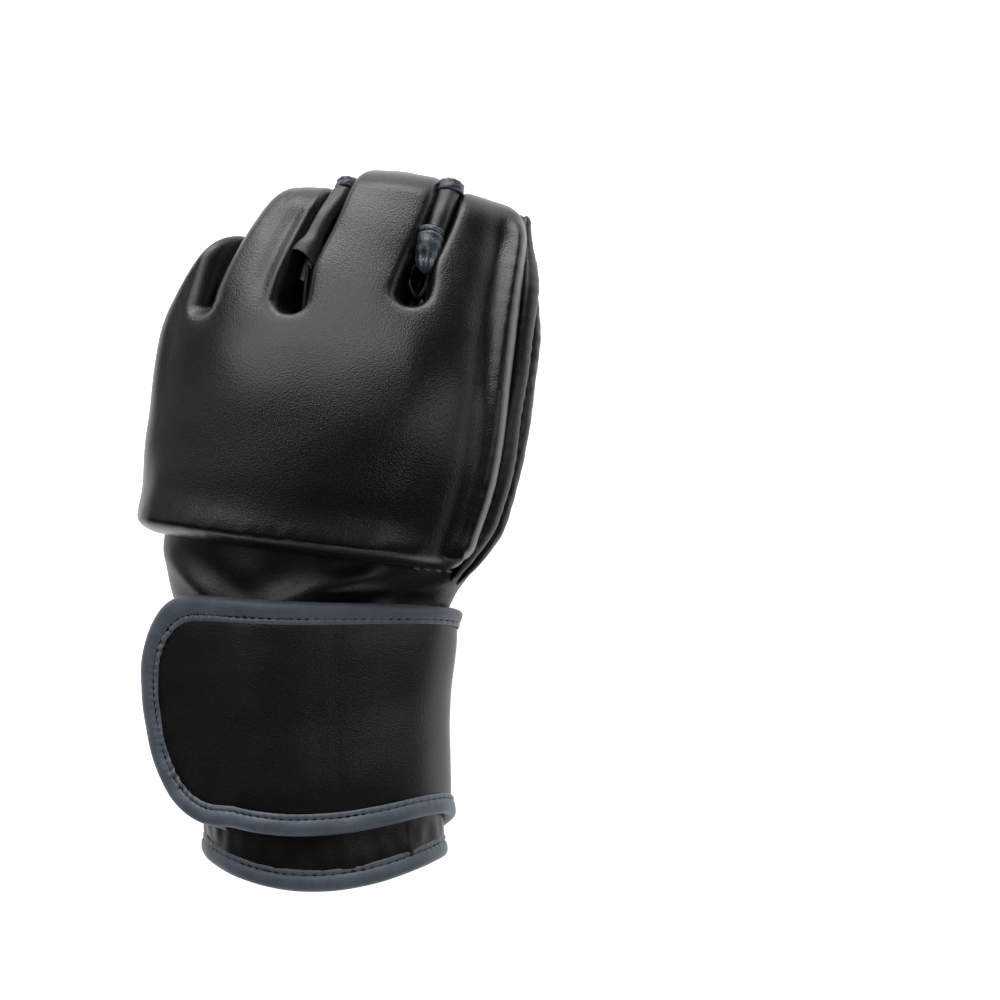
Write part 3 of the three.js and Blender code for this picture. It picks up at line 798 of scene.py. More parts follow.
@dataclass(frozen=True)
class LeatherFinish:
    """Coated leather with a pebble grain, in metres."""

    name: str
    base: Colour
    worn_and_sheen: Colour
    roughness: float
    grain: float = 0.00052
    grain_depth: float = 0.00004
    pores: float = 0.00022
    crease_depth: float = 0.00008
    warp: float = 0.0006
    warp_scale: float = 400.0
    broad_scale: float = 45.0
    patch_scale: float = 120.0
    patch_lift: float = 1.35

    def material(self) -> bpy.types.Material:
        """Makes the material."""
        recipe = Recipe(self.name)
        spot = recipe.spot()
        inputs = {"Vector": spot, "Scale": self.warp_scale, "Detail": 2.0}
        swirl = recipe.node("ShaderNodeTexNoise", {}, inputs, out="Color")
        warp = recipe.node(
            "ShaderNodeVectorMath",
            {"operation": "MULTIPLY_ADD"},
            {0: swirl, 1: (self.warp,) * 3, 2: spot},
        )
        pebble = recipe.node(
            "ShaderNodeTexVoronoi", {"feature": "SMOOTH_F1"},
            {"Vector": warp, "Scale": 1 / self.grain, "Smoothness": 0.55, "Randomness": 0.95}, out="Distance",
        )
        fine = recipe.noise(spot, 1 / self.pores, 2)
        broad = recipe.noise(spot, self.broad_scale, 3, 0.55)
        patch = recipe.noise(spot, self.patch_scale, 3, 0.6)
        worn_and_sheen = recipe.node("ShaderNodeAttribute", {"attribute_name": "proudness"}, out="Fac")
        # Proud points turn towards the lighter colour: real rubbing on most leathers, and a painted highlight
        # on the pleat crests of the gathered binding.
        rubbed_and_sheen = recipe.ramp(worn_and_sheen * (0.5 + patch), 0.25, 0.95)
        creases = recipe.bump(broad, self.crease_depth * 2, 0.3)
        grain = recipe.bump((1.0 - pebble) + fine * 0.35, self.grain_depth * 2, 0.8, creases)
        lifted = tuple(c * self.patch_lift for c in self.base)
        tone = recipe.between(recipe.ramp(patch, 0.35, 0.7), self.base, lifted)
        colour = recipe.between(rubbed_and_sheen * 0.6, tone, self.worn_and_sheen)
        rough = self.roughness - 0.04 * rubbed_and_sheen + (patch - 0.5) * 0.05 + pebble * 0.06
        return recipe.shade({
            "Base Color": colour,
            "Roughness": rough,
            "Normal": grain,
            "IOR": 1.5,
        })


@dataclass(frozen=True)
class KnitFinish:
    """Ribbed knit lining that follows the piece's own UV map."""

    name: str
    base: Colour = (0.012, 0.012, 0.014)
    light: Colour = (0.035, 0.035, 0.04)
    ribs: float = 70
    loops: float = 90

    def material(self) -> bpy.types.Material:
        """Makes the material."""
        recipe = Recipe(self.name)
        spread = recipe.node("ShaderNodeUVMap", {"uv_map": "UVMap"})
        split = recipe.node("ShaderNodeSeparateXYZ", {}, {0: spread})
        sideways = Wire(recipe, split.socket.node.outputs[1])
        rib = (sideways * (math.pi * self.ribs)).sine().size()
        loop = (split * (2 * math.pi * self.loops) + rib * 2.2).sine() * 0.5 + 0.5
        fuzz = recipe.noise(recipe.spot(), 2600.0, 3, 0.6)
        height = rib * 0.75 + loop * 0.25 * rib + fuzz * 0.15
        # Rib crests take the lighter colour and the valleys between ribs and loops the darker base, following
        # the bump height: painted light on the crests and painted shade in the valleys, with a little random
        # fuzz tone.
        colour = recipe.between(recipe.ramp(height, 0.25, 1.0), self.base, self.light)
        return recipe.shade({
            "Base Color": colour,
            "Roughness": 0.88 + fuzz * 0.1,
            "Normal": recipe.bump(height, 0.0005, 0.8),
            "Sheen Weight": 0.35,
            "Sheen Roughness": 0.5,
            "IOR": 1.4,
        })


@dataclass(frozen=True)
class ThreadFinish:
    """Twisted polyester thread."""

    name: str
    base: Colour = (0.0015, 0.0015, 0.002)
    light: Colour = (0.007, 0.007, 0.008)

    def material(self) -> bpy.types.Material:
        """Makes the material."""
        recipe = Recipe(self.name)
        spot = recipe.spot()
        fibre = recipe.noise(spot, 5200.0, 2, 0.6)
        return recipe.shade({
            "Base Color": recipe.between(fibre, self.base, self.light),
            "Roughness": 0.62 + fibre * 0.25,
            "Normal": recipe.bump(fibre, 0.00008, 0.6),
            "Specular IOR Level": 0.1,
        })


@dataclass
class Wardrobe:
    """The materials, each made once."""

    leather: bpy.types.Material = field(init=False)
    pad_leather: bpy.types.Material = field(init=False)
    binding: bpy.types.Material = field(init=False)
    gathered: bpy.types.Material = field(init=False)
    glossy: bpy.types.Material = field(init=False)
    thread: bpy.types.Material = field(init=False)
    painted_highlight_thread: bpy.types.Material = field(init=False)
    knit: bpy.types.Material = field(init=False)
    tube_knit: bpy.types.Material = field(init=False)

    def __post_init__(self) -> None:
        """Makes the finishes."""
        self.pad_leather = LeatherFinish(
            "pad leather", (0.0022, 0.0021, 0.0025), (0.010, 0.0096, 0.0115), 0.28
        ).material()
        self.leather = LeatherFinish(
            "glove leather", (0.0032, 0.003, 0.0034), (0.012, 0.0116, 0.0135), 0.34, grain=0.0005
        ).material()
        self.binding = LeatherFinish(
            "binding leather", (0.082, 0.101, 0.128), (0.13, 0.152, 0.182), 0.46,
            grain=0.0005, grain_depth=0.00003, crease_depth=0.00008,
        ).material()
        # The knob's and the collars' gray binding leather, far darker than the binding: painted shade of the
        # grooves they sit in. Its much lighter second colour on the proud pleats is a painted highlight.
        self.gathered = LeatherFinish(
            "gathered binding leather", (0.016, 0.022, 0.031), (0.12, 0.15, 0.19), 0.34,
            grain=0.0007, grain_depth=0.00008, crease_depth=0.00016,
        ).material()
        self.glossy = LeatherFinish(
            "piping leather", (0.006, 0.006, 0.007), (0.03, 0.03, 0.034), 0.24
        ).material()
        self.thread = ThreadFinish("black thread").material()
        # Pale thread colour for the pad seam's few stitches: a painted highlight on black thread.
        self.painted_highlight_thread = ThreadFinish("pale thread", (0.09, 0.09, 0.095), (0.26, 0.26, 0.27)).material()
        self.knit = KnitFinish("palm knit").material()
        self.tube_knit = KnitFinish("finger knit", ribs=56, loops=44).material()


# The pad on the back of the hand


@dataclass(frozen=True)
class Groove:
    """A groove between two fingers of the pad, in degrees and mm."""

    angle: float
    web: float
    half_width: float
    breadth: float
    floor: float
    fade: float
    lip: float
    at_web: float
    at_tip: float
    closed: float = 0.0
    fold: float = 0.0
    turn_run: tuple[float, float] = (186, 228)
    turn_start: float = 140

    def turn(self, along: np.ndarray) -> np.ndarray:
        """How far it runs over to the little finger's side, in degrees."""
        tilt = mix(self.at_web, self.at_tip, step(along, *self.turn_run))
        return tilt * step(along, self.turn_start, self.turn_run[0])


@dataclass
class BackPad:
    """The foam pad over the knuckles with its four finger lobes."""

    sleeve: Sleeve
    start: float = 108
    web: float = 184
    thickness: float = 21
    lobe_thickness: float = 17
    edge: float = 2.2
    under: float = 0.3
    tip_round: float = 15
    side_round: float = 12
    thumb_round: float = 8.5
    seam_round: float = 5.2
    thumb_level: float = 0.72
    thumb_rise: tuple[float, float] = (8, 33)
    pinky_level: float = 0.5
    pinky_rise: tuple[float, float] = (3, 22)
    pinky_full: float = 142
    pinky_taper: float = 13
    taper_run: tuple[float, float] = (172, 211)
    pinky_wrap: float = 3.0
    wrap_run: tuple[float, float] = (110, 168)
    thumb_corner: float = 9.5
    pinky_corner: float = 4.5
    end_narrowing: float = 0.6
    outer_slimming: float = 0.28
    corner_begins: tuple[float, float] = (0.5, 0.8)
    lobe_columns: int = 30
    body_rows: int = 72
    lobe_rows: int = 58
    index_joined_rows: int = 12
    far: float = 99.0
    lobe_run: tuple[float, float] = (150, 215)
    grooves: tuple[Groove, ...] = (
        Groove(66, 191, 2.3, 3.8, 0.0, 1, 0.12, 3.0, -4.0, 1.8),
        Groove(103.6, 184, 1.9, 3.6, 0.0, 6, 0.08, 2.2, -3.6, 1.2, 0.7),
        Groove(134, 182, 0.3, 6.5, 0.5, 24, 0.0, 4.5, 0.5),
    )

    def layout(self, u: np.ndarray, v: np.ndarray) -> tuple[np.ndarray, ...]:
        """Where the pad's rows and columns lie.

        Args:
            u: share of the rows, from the wrist to the fingertips.
            v: share of the columns, from the thumb side to the little finger's side.

        Returns:
            Along, angle, distance from the outer side, distance from the lobe's side and tip.
        """
        rows, per_lobe = self.body_rows + self.lobe_rows, self.lobe_columns + 1
        columns = per_lobe * len(FINGERS) - 1
        row, column = np.rint(u * rows).astype(int), np.rint(v * columns).astype(int)
        lobe, stop = column // per_lobe, crowd(column % per_lobe / self.lobe_columns)
        first, last, end = np.array([[f.start, f.stop, f.lobe_end] for f in FINGERS]).T[:, lobe]
        in_body = crowd(np.clip(row / self.body_rows, 0, 1))
        in_lobe = crowd(np.clip((row - self.body_rows) / self.lobe_rows, 0, 1))
        on_body = row <= self.body_rows
        along = np.where(on_body, mix(self.start, self.web, in_body), mix(self.web, end, in_lobe))
        early, late = (self.end_narrowing * self.rounding(in_lobe, begin) for begin in self.corner_begins)
        outer, inner = np.where(lobe == 0, late, early), np.where(lobe == 0, early, late)
        outer = outer + self.outer_slimming * step(in_lobe, 0.2, 1) * (lobe >= 2)
        low, high = mix(first, last, inner / 2), mix(last, first, outer / 2)
        span = high - low
        taper = self.pinky_taper * step(along, *self.taper_run)
        taper -= self.pinky_wrap * (1 - step(along, *self.wrap_run))
        taper = np.where(lobe == len(FINGERS) - 1, taper, 0.0) * stop
        angle = mix(low, high, stop) - taper + self.slant(along, lobe, stop)
        reach = np.radians(1) * 0.85 * self.sleeve.section(1, along)
        to_side = np.minimum(stop, 1 - stop) * span * reach
        to_thumb = np.where(lobe == 0, stop * span * reach, self.far)
        to_pinky = np.where(lobe == len(FINGERS) - 1, (1 - stop) * span * reach, self.far)
        return along, angle, to_thumb, to_pinky, to_side, end - along, reach

    def rounding(self, in_lobe: np.ndarray, begin: float) -> np.ndarray:
        """How far a lobe's corner is rounded off, from 0 to 1, from a share of its length on."""
        into_end = np.clip((in_lobe - begin) / (1 - begin), 0, 1)
        return 1 - np.sqrt(1 - 0.96 * into_end**4)

    def slant(self, along: np.ndarray, lobe: np.ndarray, stop: np.ndarray) -> np.ndarray:
        """How far the grooves run over to the little finger's side towards the wrist, in degrees.

        Args:
            along: places along the sleeve.
            lobe: the finger's number.
            stop: share of the finger's breadth.

        Returns:
            The turn of each point.
        """
        turns = [groove.turn(along) for groove in self.grooves]
        turns = np.stack([np.zeros_like(along), *turns, np.zeros_like(along)])
        return mix(np.choose(lobe, turns[:-1]), np.choose(lobe, turns[1:]), stop)

    def laid(self, u: np.ndarray, v: np.ndarray) -> tuple[np.ndarray, np.ndarray]:
        """The along and angle of each point, with the bottom corners rounded."""
        along, angle, to_thumb, to_pinky, _, _, reach = self.layout(u, v)
        up = along - self.start
        on_thumb_side = to_thumb < to_pinky
        near, turn = np.minimum(to_thumb, to_pinky), np.where(on_thumb_side, 1.0, -1.0)
        corner = np.where(on_thumb_side, self.thumb_corner, self.pinky_corner)
        a, b = np.clip(corner - near, 0, None), np.clip(corner - up, 0, None)
        both = np.maximum(np.hypot(a, b), 1e-6)
        share = np.where((a > 0) & (b > 0), np.maximum(a, b) / both, 1.0)
        return along + b * (1 - share), angle + turn * a * (1 - share) / reach

    def height(self, u: np.ndarray, v: np.ndarray) -> np.ndarray:
        """The pad's height over the sleeve, in mm."""
        along, angle, to_thumb, to_pinky, to_side, to_tip, reach = self.layout(u, v)
        up = along - self.start
        full = mix(self.thickness, self.lobe_thickness, step(along, *self.lobe_run))
        full *= mix(self.thumb_level, 1, step(to_thumb, *self.thumb_rise))
        thin = (1 - step(to_pinky, *self.pinky_rise)) * (1 - step(along, self.start, self.pinky_full))
        full *= mix(1, self.pinky_level, thin)
        lifted = rise(up, self.seam_round) * rise(to_tip, self.tip_round)
        pinky_round = self.side_round + self.pinky_wrap * 0.9 * (1 - step(along, *self.wrap_run))
        lifted *= rise(to_thumb, self.thumb_round) * rise(to_pinky / pinky_round, 1)
        lips = np.zeros_like(along)
        for groove in self.grooves:
            offset = angle - groove.angle - groove.turn(along)
            closer = groove.closed * (offset < 0) * step(along, groove.web + 1, groove.web + 13)
            beside = np.abs(offset) * reach + closer
            before = np.clip(groove.web - along, 0, None)
            away = np.hypot(beside, before) - groove.half_width
            past = along > groove.web
            away = np.where(past, np.minimum(away, np.where(beside < 14, to_side + 0.4, away)), away)
            floor = groove.floor * (1 - step(along, groove.web, groove.web + groove.fade))
            lifted *= mix(floor, 1, rise(away, groove.breadth)) * mix(0.88, 1, rise(away, 13))
            near_end = np.maximum(hump(along, groove.web - 4, 12), 0.5 * past * step(to_tip, 4, 16))
            lips += groove.lip * hump(away, groove.breadth + 1.2, 3.2) * near_end
            crease = (hump(away, 3.6, 1.5) - hump(away, 7, 2.4)) * (offset > 0)
            lips += groove.fold * crease * step(along, groove.web - 6, groove.web + 8) * step(to_tip, 6, 22)
            lips += 0.16 * groove.lip * hump(away, 5, 4) * near_end * uneven(angle * 0.9, along, 13, 11)
        ridge = 1.5 * hump(to_thumb, 6.8, 2.6) - 1.4 * hump(to_thumb, 13.5, 4.2)
        ridge += 0.3 * hump(up, 7, 3.5) - 0.25 * hump(up, 15, 6)
        ridge *= step(to_tip, 4, 20) * step(to_pinky, 0, 12)
        inside = step(np.minimum(np.minimum(to_thumb, to_pinky), up), 3, 16) * step(to_tip, 2, 14)
        soft = 0.5 * uneven(angle * reach, along, 52, 3) + 0.08 * uneven(angle * reach, along, 19, 5)
        tuck = 0.1 * uneven(angle * reach * 2.2, along * 0.5, 11, 8) * hump(up, 5, 5)
        tuck += 0.08 * uneven(angle * reach * 0.5, along * 2.0, 11, 9) * hump(np.minimum(to_thumb, 40), 5, 5)
        return self.edge + (full - self.edge) * lifted + ridge + lips + soft * inside + tuck

    def outer(self, u: np.ndarray, v: np.ndarray) -> np.ndarray:
        """The pad's face."""
        along, angle = self.laid(u, v)
        return self.sleeve.place(along, angle, self.height(u, v))

    def inner(self, u: np.ndarray, v: np.ndarray) -> np.ndarray:
        """The pad's underside, on the back leather."""
        along, angle = self.laid(u, v)
        return self.sleeve.place(along, angle, self.under)

    def stays(self, u: np.ndarray, v: np.ndarray) -> np.ndarray:
        """False for the cells between the fingers."""
        columns = (self.lobe_columns + 1) * len(FINGERS) - 1
        column = np.floor(v * columns).astype(int)
        between = column % (self.lobe_columns + 1) == self.lobe_columns
        joined_rows = np.where(column == self.lobe_columns, self.index_joined_rows, 0)
        return ~(between & (u > (self.body_rows + joined_rows) / (self.body_rows + self.lobe_rows)))

    def build(self, wardrobe: Wardrobe) -> None:
        """Makes the pad and its seam's last stitches."""
        columns = (self.lobe_columns + 1) * len(FINGERS) - 1
        rows = self.body_rows + self.lobe_rows
        pad = Bench.sheet("back_pad_leather", rows, columns, self.outer, keep=self.stays)
        Bench.wall(pad, 1, self.inner)
        Bench.complete(pad, Slot.LEATHER, (wardrobe.pad_leather,), "back_pad", smooth_angle=70)
        angle = np.linspace(47, 25, 30)
        line = self.sleeve.place(self.start - 0.4, angle, 1.7)
        outward = self.sleeve.outward(self.start, angle)
        # These stitches take the pale thread, whose colour is a painted highlight.
        Thread(pitch=3.2).sew("pad_seam_stitches", line, outward, 4, wardrobe.painted_highlight_thread)


# The leather and lining under the pad


@dataclass
class BackPanel:
    """The back leather, seen between the pad and the strap, and its knit lining."""

    sleeve: Sleeve
    start: float = 74.3
    stop: float = 176.9
    side_gap: float = 0.7
    leather: float = 1.6
    lining: float = 1.0
    gap: float = 0.3
    lining_span: tuple[float, float] = (9, 171)
    # across and along of a fold's two ends, its height and its half breadth
    fold_lines: tuple[tuple[float, ...], ...] = (
        (-46, 104, -28, 92, 1.6, 3.4),
        (-34, 104, -14, 93, -1.3, 4.0),
        (-18, 86, 24, 103, 2.1, 4.4),
        (4, 85, 42, 98, -1.5, 4.2),
        (26, 90, 46, 104, 1.2, 3.6),
    )

    def folds(self, along: np.ndarray, angle: np.ndarray) -> np.ndarray:
        """The soft diagonal folds of the neck, in mm."""
        across = 47 * np.cos(np.radians(angle))
        visible = step(along, 82, 90) * (1 - step(along, 106, 112))
        folds = np.zeros_like(along)
        for x0, y0, x1, y1, height, breadth in self.fold_lines:
            run = np.array([x1 - x0, y1 - y0], float)
            size = np.hypot(*run)
            ahead = ((across - x0) * run[0] + (along - y0) * run[1]) / size
            beside = ((across - x0) * run[1] - (along - y0) * run[0]) / size
            ends = step(ahead, -7, 5) * (1 - step(ahead, size - 5, size + 7))
            folds += height * hump(beside, 0, breadth) * ends
        inside = step(angle, 2, 16) * (1 - step(angle, 164, 178))
        return visible * (folds + 0.22 * uneven(across, along * 1.3, 24, 21)) * inside

    def build(self, wardrobe: Wardrobe) -> None:
        """Makes the leather and the lining."""
        side = self.side_gap

        def face(depth: float) -> Shape:
            """A face of the leather, at a depth under its top."""
            def points(u: np.ndarray, v: np.ndarray) -> np.ndarray:
                """The face's points."""
                along, angle = mix(self.start, self.stop, u), mix(side, 180 - side, v)
                return self.sleeve.place(along, angle, self.folds(along, angle) - depth)
            return points

        panel = Bench.sheet("back_panel_leather", 90, 110, face(0))
        Bench.wall(panel, self.leather, face(self.leather))
        Bench.complete(panel, Slot.LEATHER, (wardrobe.leather,), "back_panel")

        top = -self.leather - self.gap

        def lining_face(depth: float) -> Shape:
            """A face of the lining, at a depth under its top."""
            def points(u: np.ndarray, v: np.ndarray) -> np.ndarray:
                """The face's points."""
                along, angle = mix(self.start, self.stop, u), mix(*self.lining_span, v)
                return self.sleeve.place(along, angle, top - depth)
            return points

        lining = Bench.sheet("knit_back_lining", 60, 70, lining_face(0))
        Bench.wall(lining, self.lining, lining_face(self.lining))
        Bench.complete(lining, Slot.KNIT, (wardrobe.knit,), "back_lining")


# The palm side


@dataclass(frozen=True)
class Outline:
    """A closed or open line on the palm, in mm across and along."""

    points: np.ndarray
    closed: bool

    def inset(self, distance: np.ndarray, at: np.ndarray) -> np.ndarray:
        """Points at shares of the line, moved inward by a distance."""
        line = along_line_of(self.points, self.points, at, self.closed)
        aim = unit(along_line_of(self.points, self.headings(), at, self.closed))
        return line + np.stack([-aim[..., 1], aim[..., 0]], axis=-1) * np.asarray(distance)[..., None]

    def headings(self) -> np.ndarray:
        """The line's direction at each point, smoothed."""
        window = 7
        mode = "wrap" if self.closed else "edge"
        padded = np.pad(self.points, ((window, window), (0, 0)), mode=mode)
        run = padded[2:] - padded[:-2]
        weights = np.hanning(2 * window - 1)
        smooth = np.stack([np.convolve(run[:, k], weights, mode="valid") for k in range(2)], axis=-1)
        return unit(smooth[: len(self.points)])

    def length(self) -> float:
        """The line's length, in mm."""
        ring = np.vstack([self.points, self.points[:1]]) if self.closed else self.points
        return float(lengths(ring)[-1])


def along_line_of(points: np.ndarray, values: np.ndarray, at: np.ndarray, closed: bool) -> np.ndarray:
    """Values that belong to a line's points, at shares of its length."""
    ring, carried = (np.vstack([v, v[:1]]) if closed else v for v in (points, values))
    run = lengths(ring)
    place_at = (at % 1.0 if closed else at) * run[-1]
    return np.stack([np.interp(place_at, run, carried[:, k]) for k in range(values.shape[1])], axis=-1)


def blend(t: np.ndarray, a: np.ndarray, b: np.ndarray, t0: float, t1: float) -> np.ndarray:
    """Values between a at t0 and b at t1."""
    return (t1 - t) / (t1 - t0) * a + (t - t0) / (t1 - t0) * b


def rounded_ring(corners: np.ndarray, count: int) -> np.ndarray:
    """A smooth closed line through corners, evenly spaced, by the centripetal rule."""
    total, each = len(corners), 40
    line = []
    for k in range(total):
        p = [corners[(k + j - 1) % total].astype(float) for j in range(4)]
        knots = np.concatenate([[0], np.cumsum([np.linalg.norm(p[j + 1] - p[j]) ** 0.5 for j in range(3)])])
        t = np.linspace(knots[1], knots[2], each, endpoint=False)[:, None]
        low = [blend(t, p[j], p[j + 1], knots[j], knots[j + 1]) for j in range(3)]
        mid = [blend(t, low[j], low[j + 1], knots[j], knots[j + 2]) for j in range(2)]
        line.append(blend(t, mid[0], mid[1], knots[1], knots[2]))
    ring = np.vstack(line)
    closed = np.vstack([ring, ring[:1]])
    return along_line(closed, np.arange(count) / count)


def within(ring: np.ndarray, x: np.ndarray, y: np.ndarray) -> np.ndarray:
    """True for the points inside a closed line."""
    inside = np.zeros(x.shape, bool)
    for (x0, y0), (x1, y1) in zip(ring, np.roll(ring, -1, axis=0)):
        crosses = (y0 > y) != (y1 > y)
        inside ^= crosses & (x < (x1 - x0) * (y - y0) / (y1 - y0 + 1e-12) + x0)
    return inside


@dataclass
class Palm:
    """The palm leather with its two openings and their bindings."""

    sleeve: Sleeve
    start: float = 74.3
    stop: float = 170
    side_gap: float = 0.7
    leather: float = 1.6
    tape: Tape = Tape(width=6.8, half=1.5)
    inner_reach: float = 6.2
    opening: tuple[tuple[float, float], ...] = (
        (-36, 154), (-39, 143), (-33, 121), (-21, 100), (-11, 97),
        (3, 113), (13, 135), (15, 149), (4, 156), (-18, 158),
    )
    thumb_top: tuple[float, float] = (36, 139)
    thumb_bottom: tuple[float, float] = (2, 70)
    thumb_half: float = 13.2

    def palm_outline(self) -> Outline:
        """The palm opening, a rounded triangle."""
        return Outline(rounded_ring(np.array(self.opening), 240), True)

    def thumb_outline(self) -> Outline:
        """The thumb opening, a slot that runs down under the strap."""
        top, bottom = np.array(self.thumb_top, float), np.array(self.thumb_bottom, float)
        down = unit(bottom - top)
        across = np.array([-down[1], down[0]])
        centre = top + down * self.thumb_half
        turn = np.linspace(0, np.pi, 60)[:, None]
        bend = centre + across * self.thumb_half * np.cos(turn) - down * self.thumb_half * np.sin(turn)
        share = np.linspace(0, 1, 60)[:, None]
        one, two = (mix(centre, bottom, share) + across * self.thumb_half * side for side in (1, -1))
        line = np.vstack([one[::-1], bend[1:-1], two])
        line = line[line[:, 1] > 76.5]
        return Outline(along_line(line, np.linspace(0, 1, 200)), False)

    def spread(self, u: np.ndarray, v: np.ndarray) -> tuple[np.ndarray, np.ndarray]:
        """The along and angle of the leather's points."""
        return mix(self.start, self.stop, u), mix(-self.side_gap, -180 + self.side_gap, v)

    def give(self, along: np.ndarray, angle: np.ndarray) -> np.ndarray:
        """The leather's soft unevenness, in mm."""
        across = 52 * np.cos(np.radians(angle))
        soft = 0.35 * uneven(across, along, 28, 31) + 0.15 * uneven(across, along, 11, 32)
        ends = step(along, self.start + 2, 84) * step(self.stop - along, 2, 14)
        return soft * ends * step(-angle, 2, 14) * step(180 + angle, 2, 14)

    def build(self, wardrobe: Wardrobe) -> None:
        """Makes the leather and the two bindings."""
        palm, thumb = self.palm_outline(), self.thumb_outline()
        under = 2.6
        holes = [
            palm.inset(np.full(200, under), np.arange(200) / 200),
            np.vstack([thumb.inset(np.full(200, under), np.linspace(0, 1, 200)), [[15, 60], [-5, 60]]]),
        ]

        def keep(u: np.ndarray, v: np.ndarray) -> np.ndarray:
            """True for the cells outside the two openings."""
            along, angle = self.spread(u, v)
            across = self.sleeve.section(1, along) * np.cos(np.radians(angle))
            return ~(within(holes[0], across, along) | within(holes[1], across, along))

        def face(depth: float) -> Shape:
            """One face of the piece, at a depth or a lift."""
            def points(u: np.ndarray, v: np.ndarray) -> np.ndarray:
                """The piece's points for shares of its cut."""
                along, angle = self.spread(u, v)
                return self.sleeve.place(along, angle, self.give(along, angle) - depth)
            return points

        panel = Bench.sheet("palm_panel_leather", 96, 130, face(0), keep=keep)
        Bench.wall(panel, self.leather, face(self.leather), inner_slot=1)
        Bench.complete(panel, Slot.LEATHER, (wardrobe.leather, wardrobe.knit), "palm_panel")
        self.bind(wardrobe, "palm_opening_tape", "palm_opening_binding", palm, 41, joint=0.28)
        self.bind(wardrobe, "thumb_opening_tape", "thumb_opening_binding", thumb, 42, joint=0.27)

    def gathers(self, outline: Outline, at: np.ndarray) -> np.ndarray:
        """Where a binding turns tightly and its fold gathers, from 0 to 1."""
        headings = outline.headings()
        turn = np.unwrap(np.arctan2(headings[:, 1], headings[:, 0]))
        bend = np.abs(np.gradient(turn)) / (outline.length() / len(outline.points))
        padded = np.pad(bend, 6, mode="wrap" if outline.closed else "edge")
        smooth = np.convolve(padded, np.ones(13) / 13, mode="valid")
        tightness = along_line_of(outline.points, smooth[:, None], at, outline.closed)[..., 0]
        return np.clip(tightness * 14 - 0.45, 0, 1)

    def bind(
        self, wardrobe: Wardrobe, name: str, node: str, outline: Outline, seed: int, joint: float
    ) -> None:
        """Makes one opening's binding and its stitches.

        Args:
            wardrobe: the materials.
            name: the binding's name.
            node: the CAD node that it stands for.
            outline: the opening.
            seed: number that fixes its unevenness.
            joint: the share of its length where the tape's ends overlap.
        """
        size, tape = outline.length(), self.tape
        middle = -self.leather / 2

        def shape(u: np.ndarray, v: np.ndarray) -> np.ndarray:
            """The piece's points for shares of its cut."""
            inward, height = tape.section(2 * v - 1)
            run = u * size
            gather = self.gathers(outline, u)
            free = 1 - step(inward, 1.5, 4.8)
            wave = np.sin(2 * np.pi * run / 4.3 + 1.7 * uneven(run, run * 0, 9, seed))
            crumple = 0.45 * gather * wave * free + 0.12 * uneven(run, inward * 2, 6, seed + 1)
            overlap = 0.5 * step(u, joint - 14 / size, joint - 3 / size)
            overlap *= 1 - step(u, joint - 0.5 / size, joint)
            height = tape.puffed(run, inward, height) + np.sign(height) * (overlap + 0.5 * np.abs(crumple))
            edge = self.inner_reach - inward + crumple * 0.8 + overlap * (inward < 3)
            spot = outline.inset(edge, u)
            return self.sleeve.palm_place(spot[:, 0], spot[:, 1], middle + height)

        piece = Bench.sheet(name, int(size / tape.cell), 34, shape)
        if outline.closed:
            Bench.merge(piece)
        Bench.wall(piece, tape.cloth)
        Bench.complete(piece, Slot.BINDING, (wardrobe.binding,), node)
        tape.declare(piece, size, "palm_panel_leather")
        at = np.linspace(0, 1, 400, endpoint=not outline.closed)
        inward = tape.stitch_share * tape.width
        spot = outline.inset(np.full(400, self.inner_reach - inward), at)
        line = self.sleeve.palm_place(spot[:, 0], spot[:, 1], middle + tape.stitch_lift * tape.half)
        over = self.sleeve.palm_place(spot[:, 0], spot[:, 1], middle + tape.stitch_lift * tape.half + 1)
        tape.thread.sew(f"{name}_stitches", line, unit(over - line), seed, wardrobe.thread)


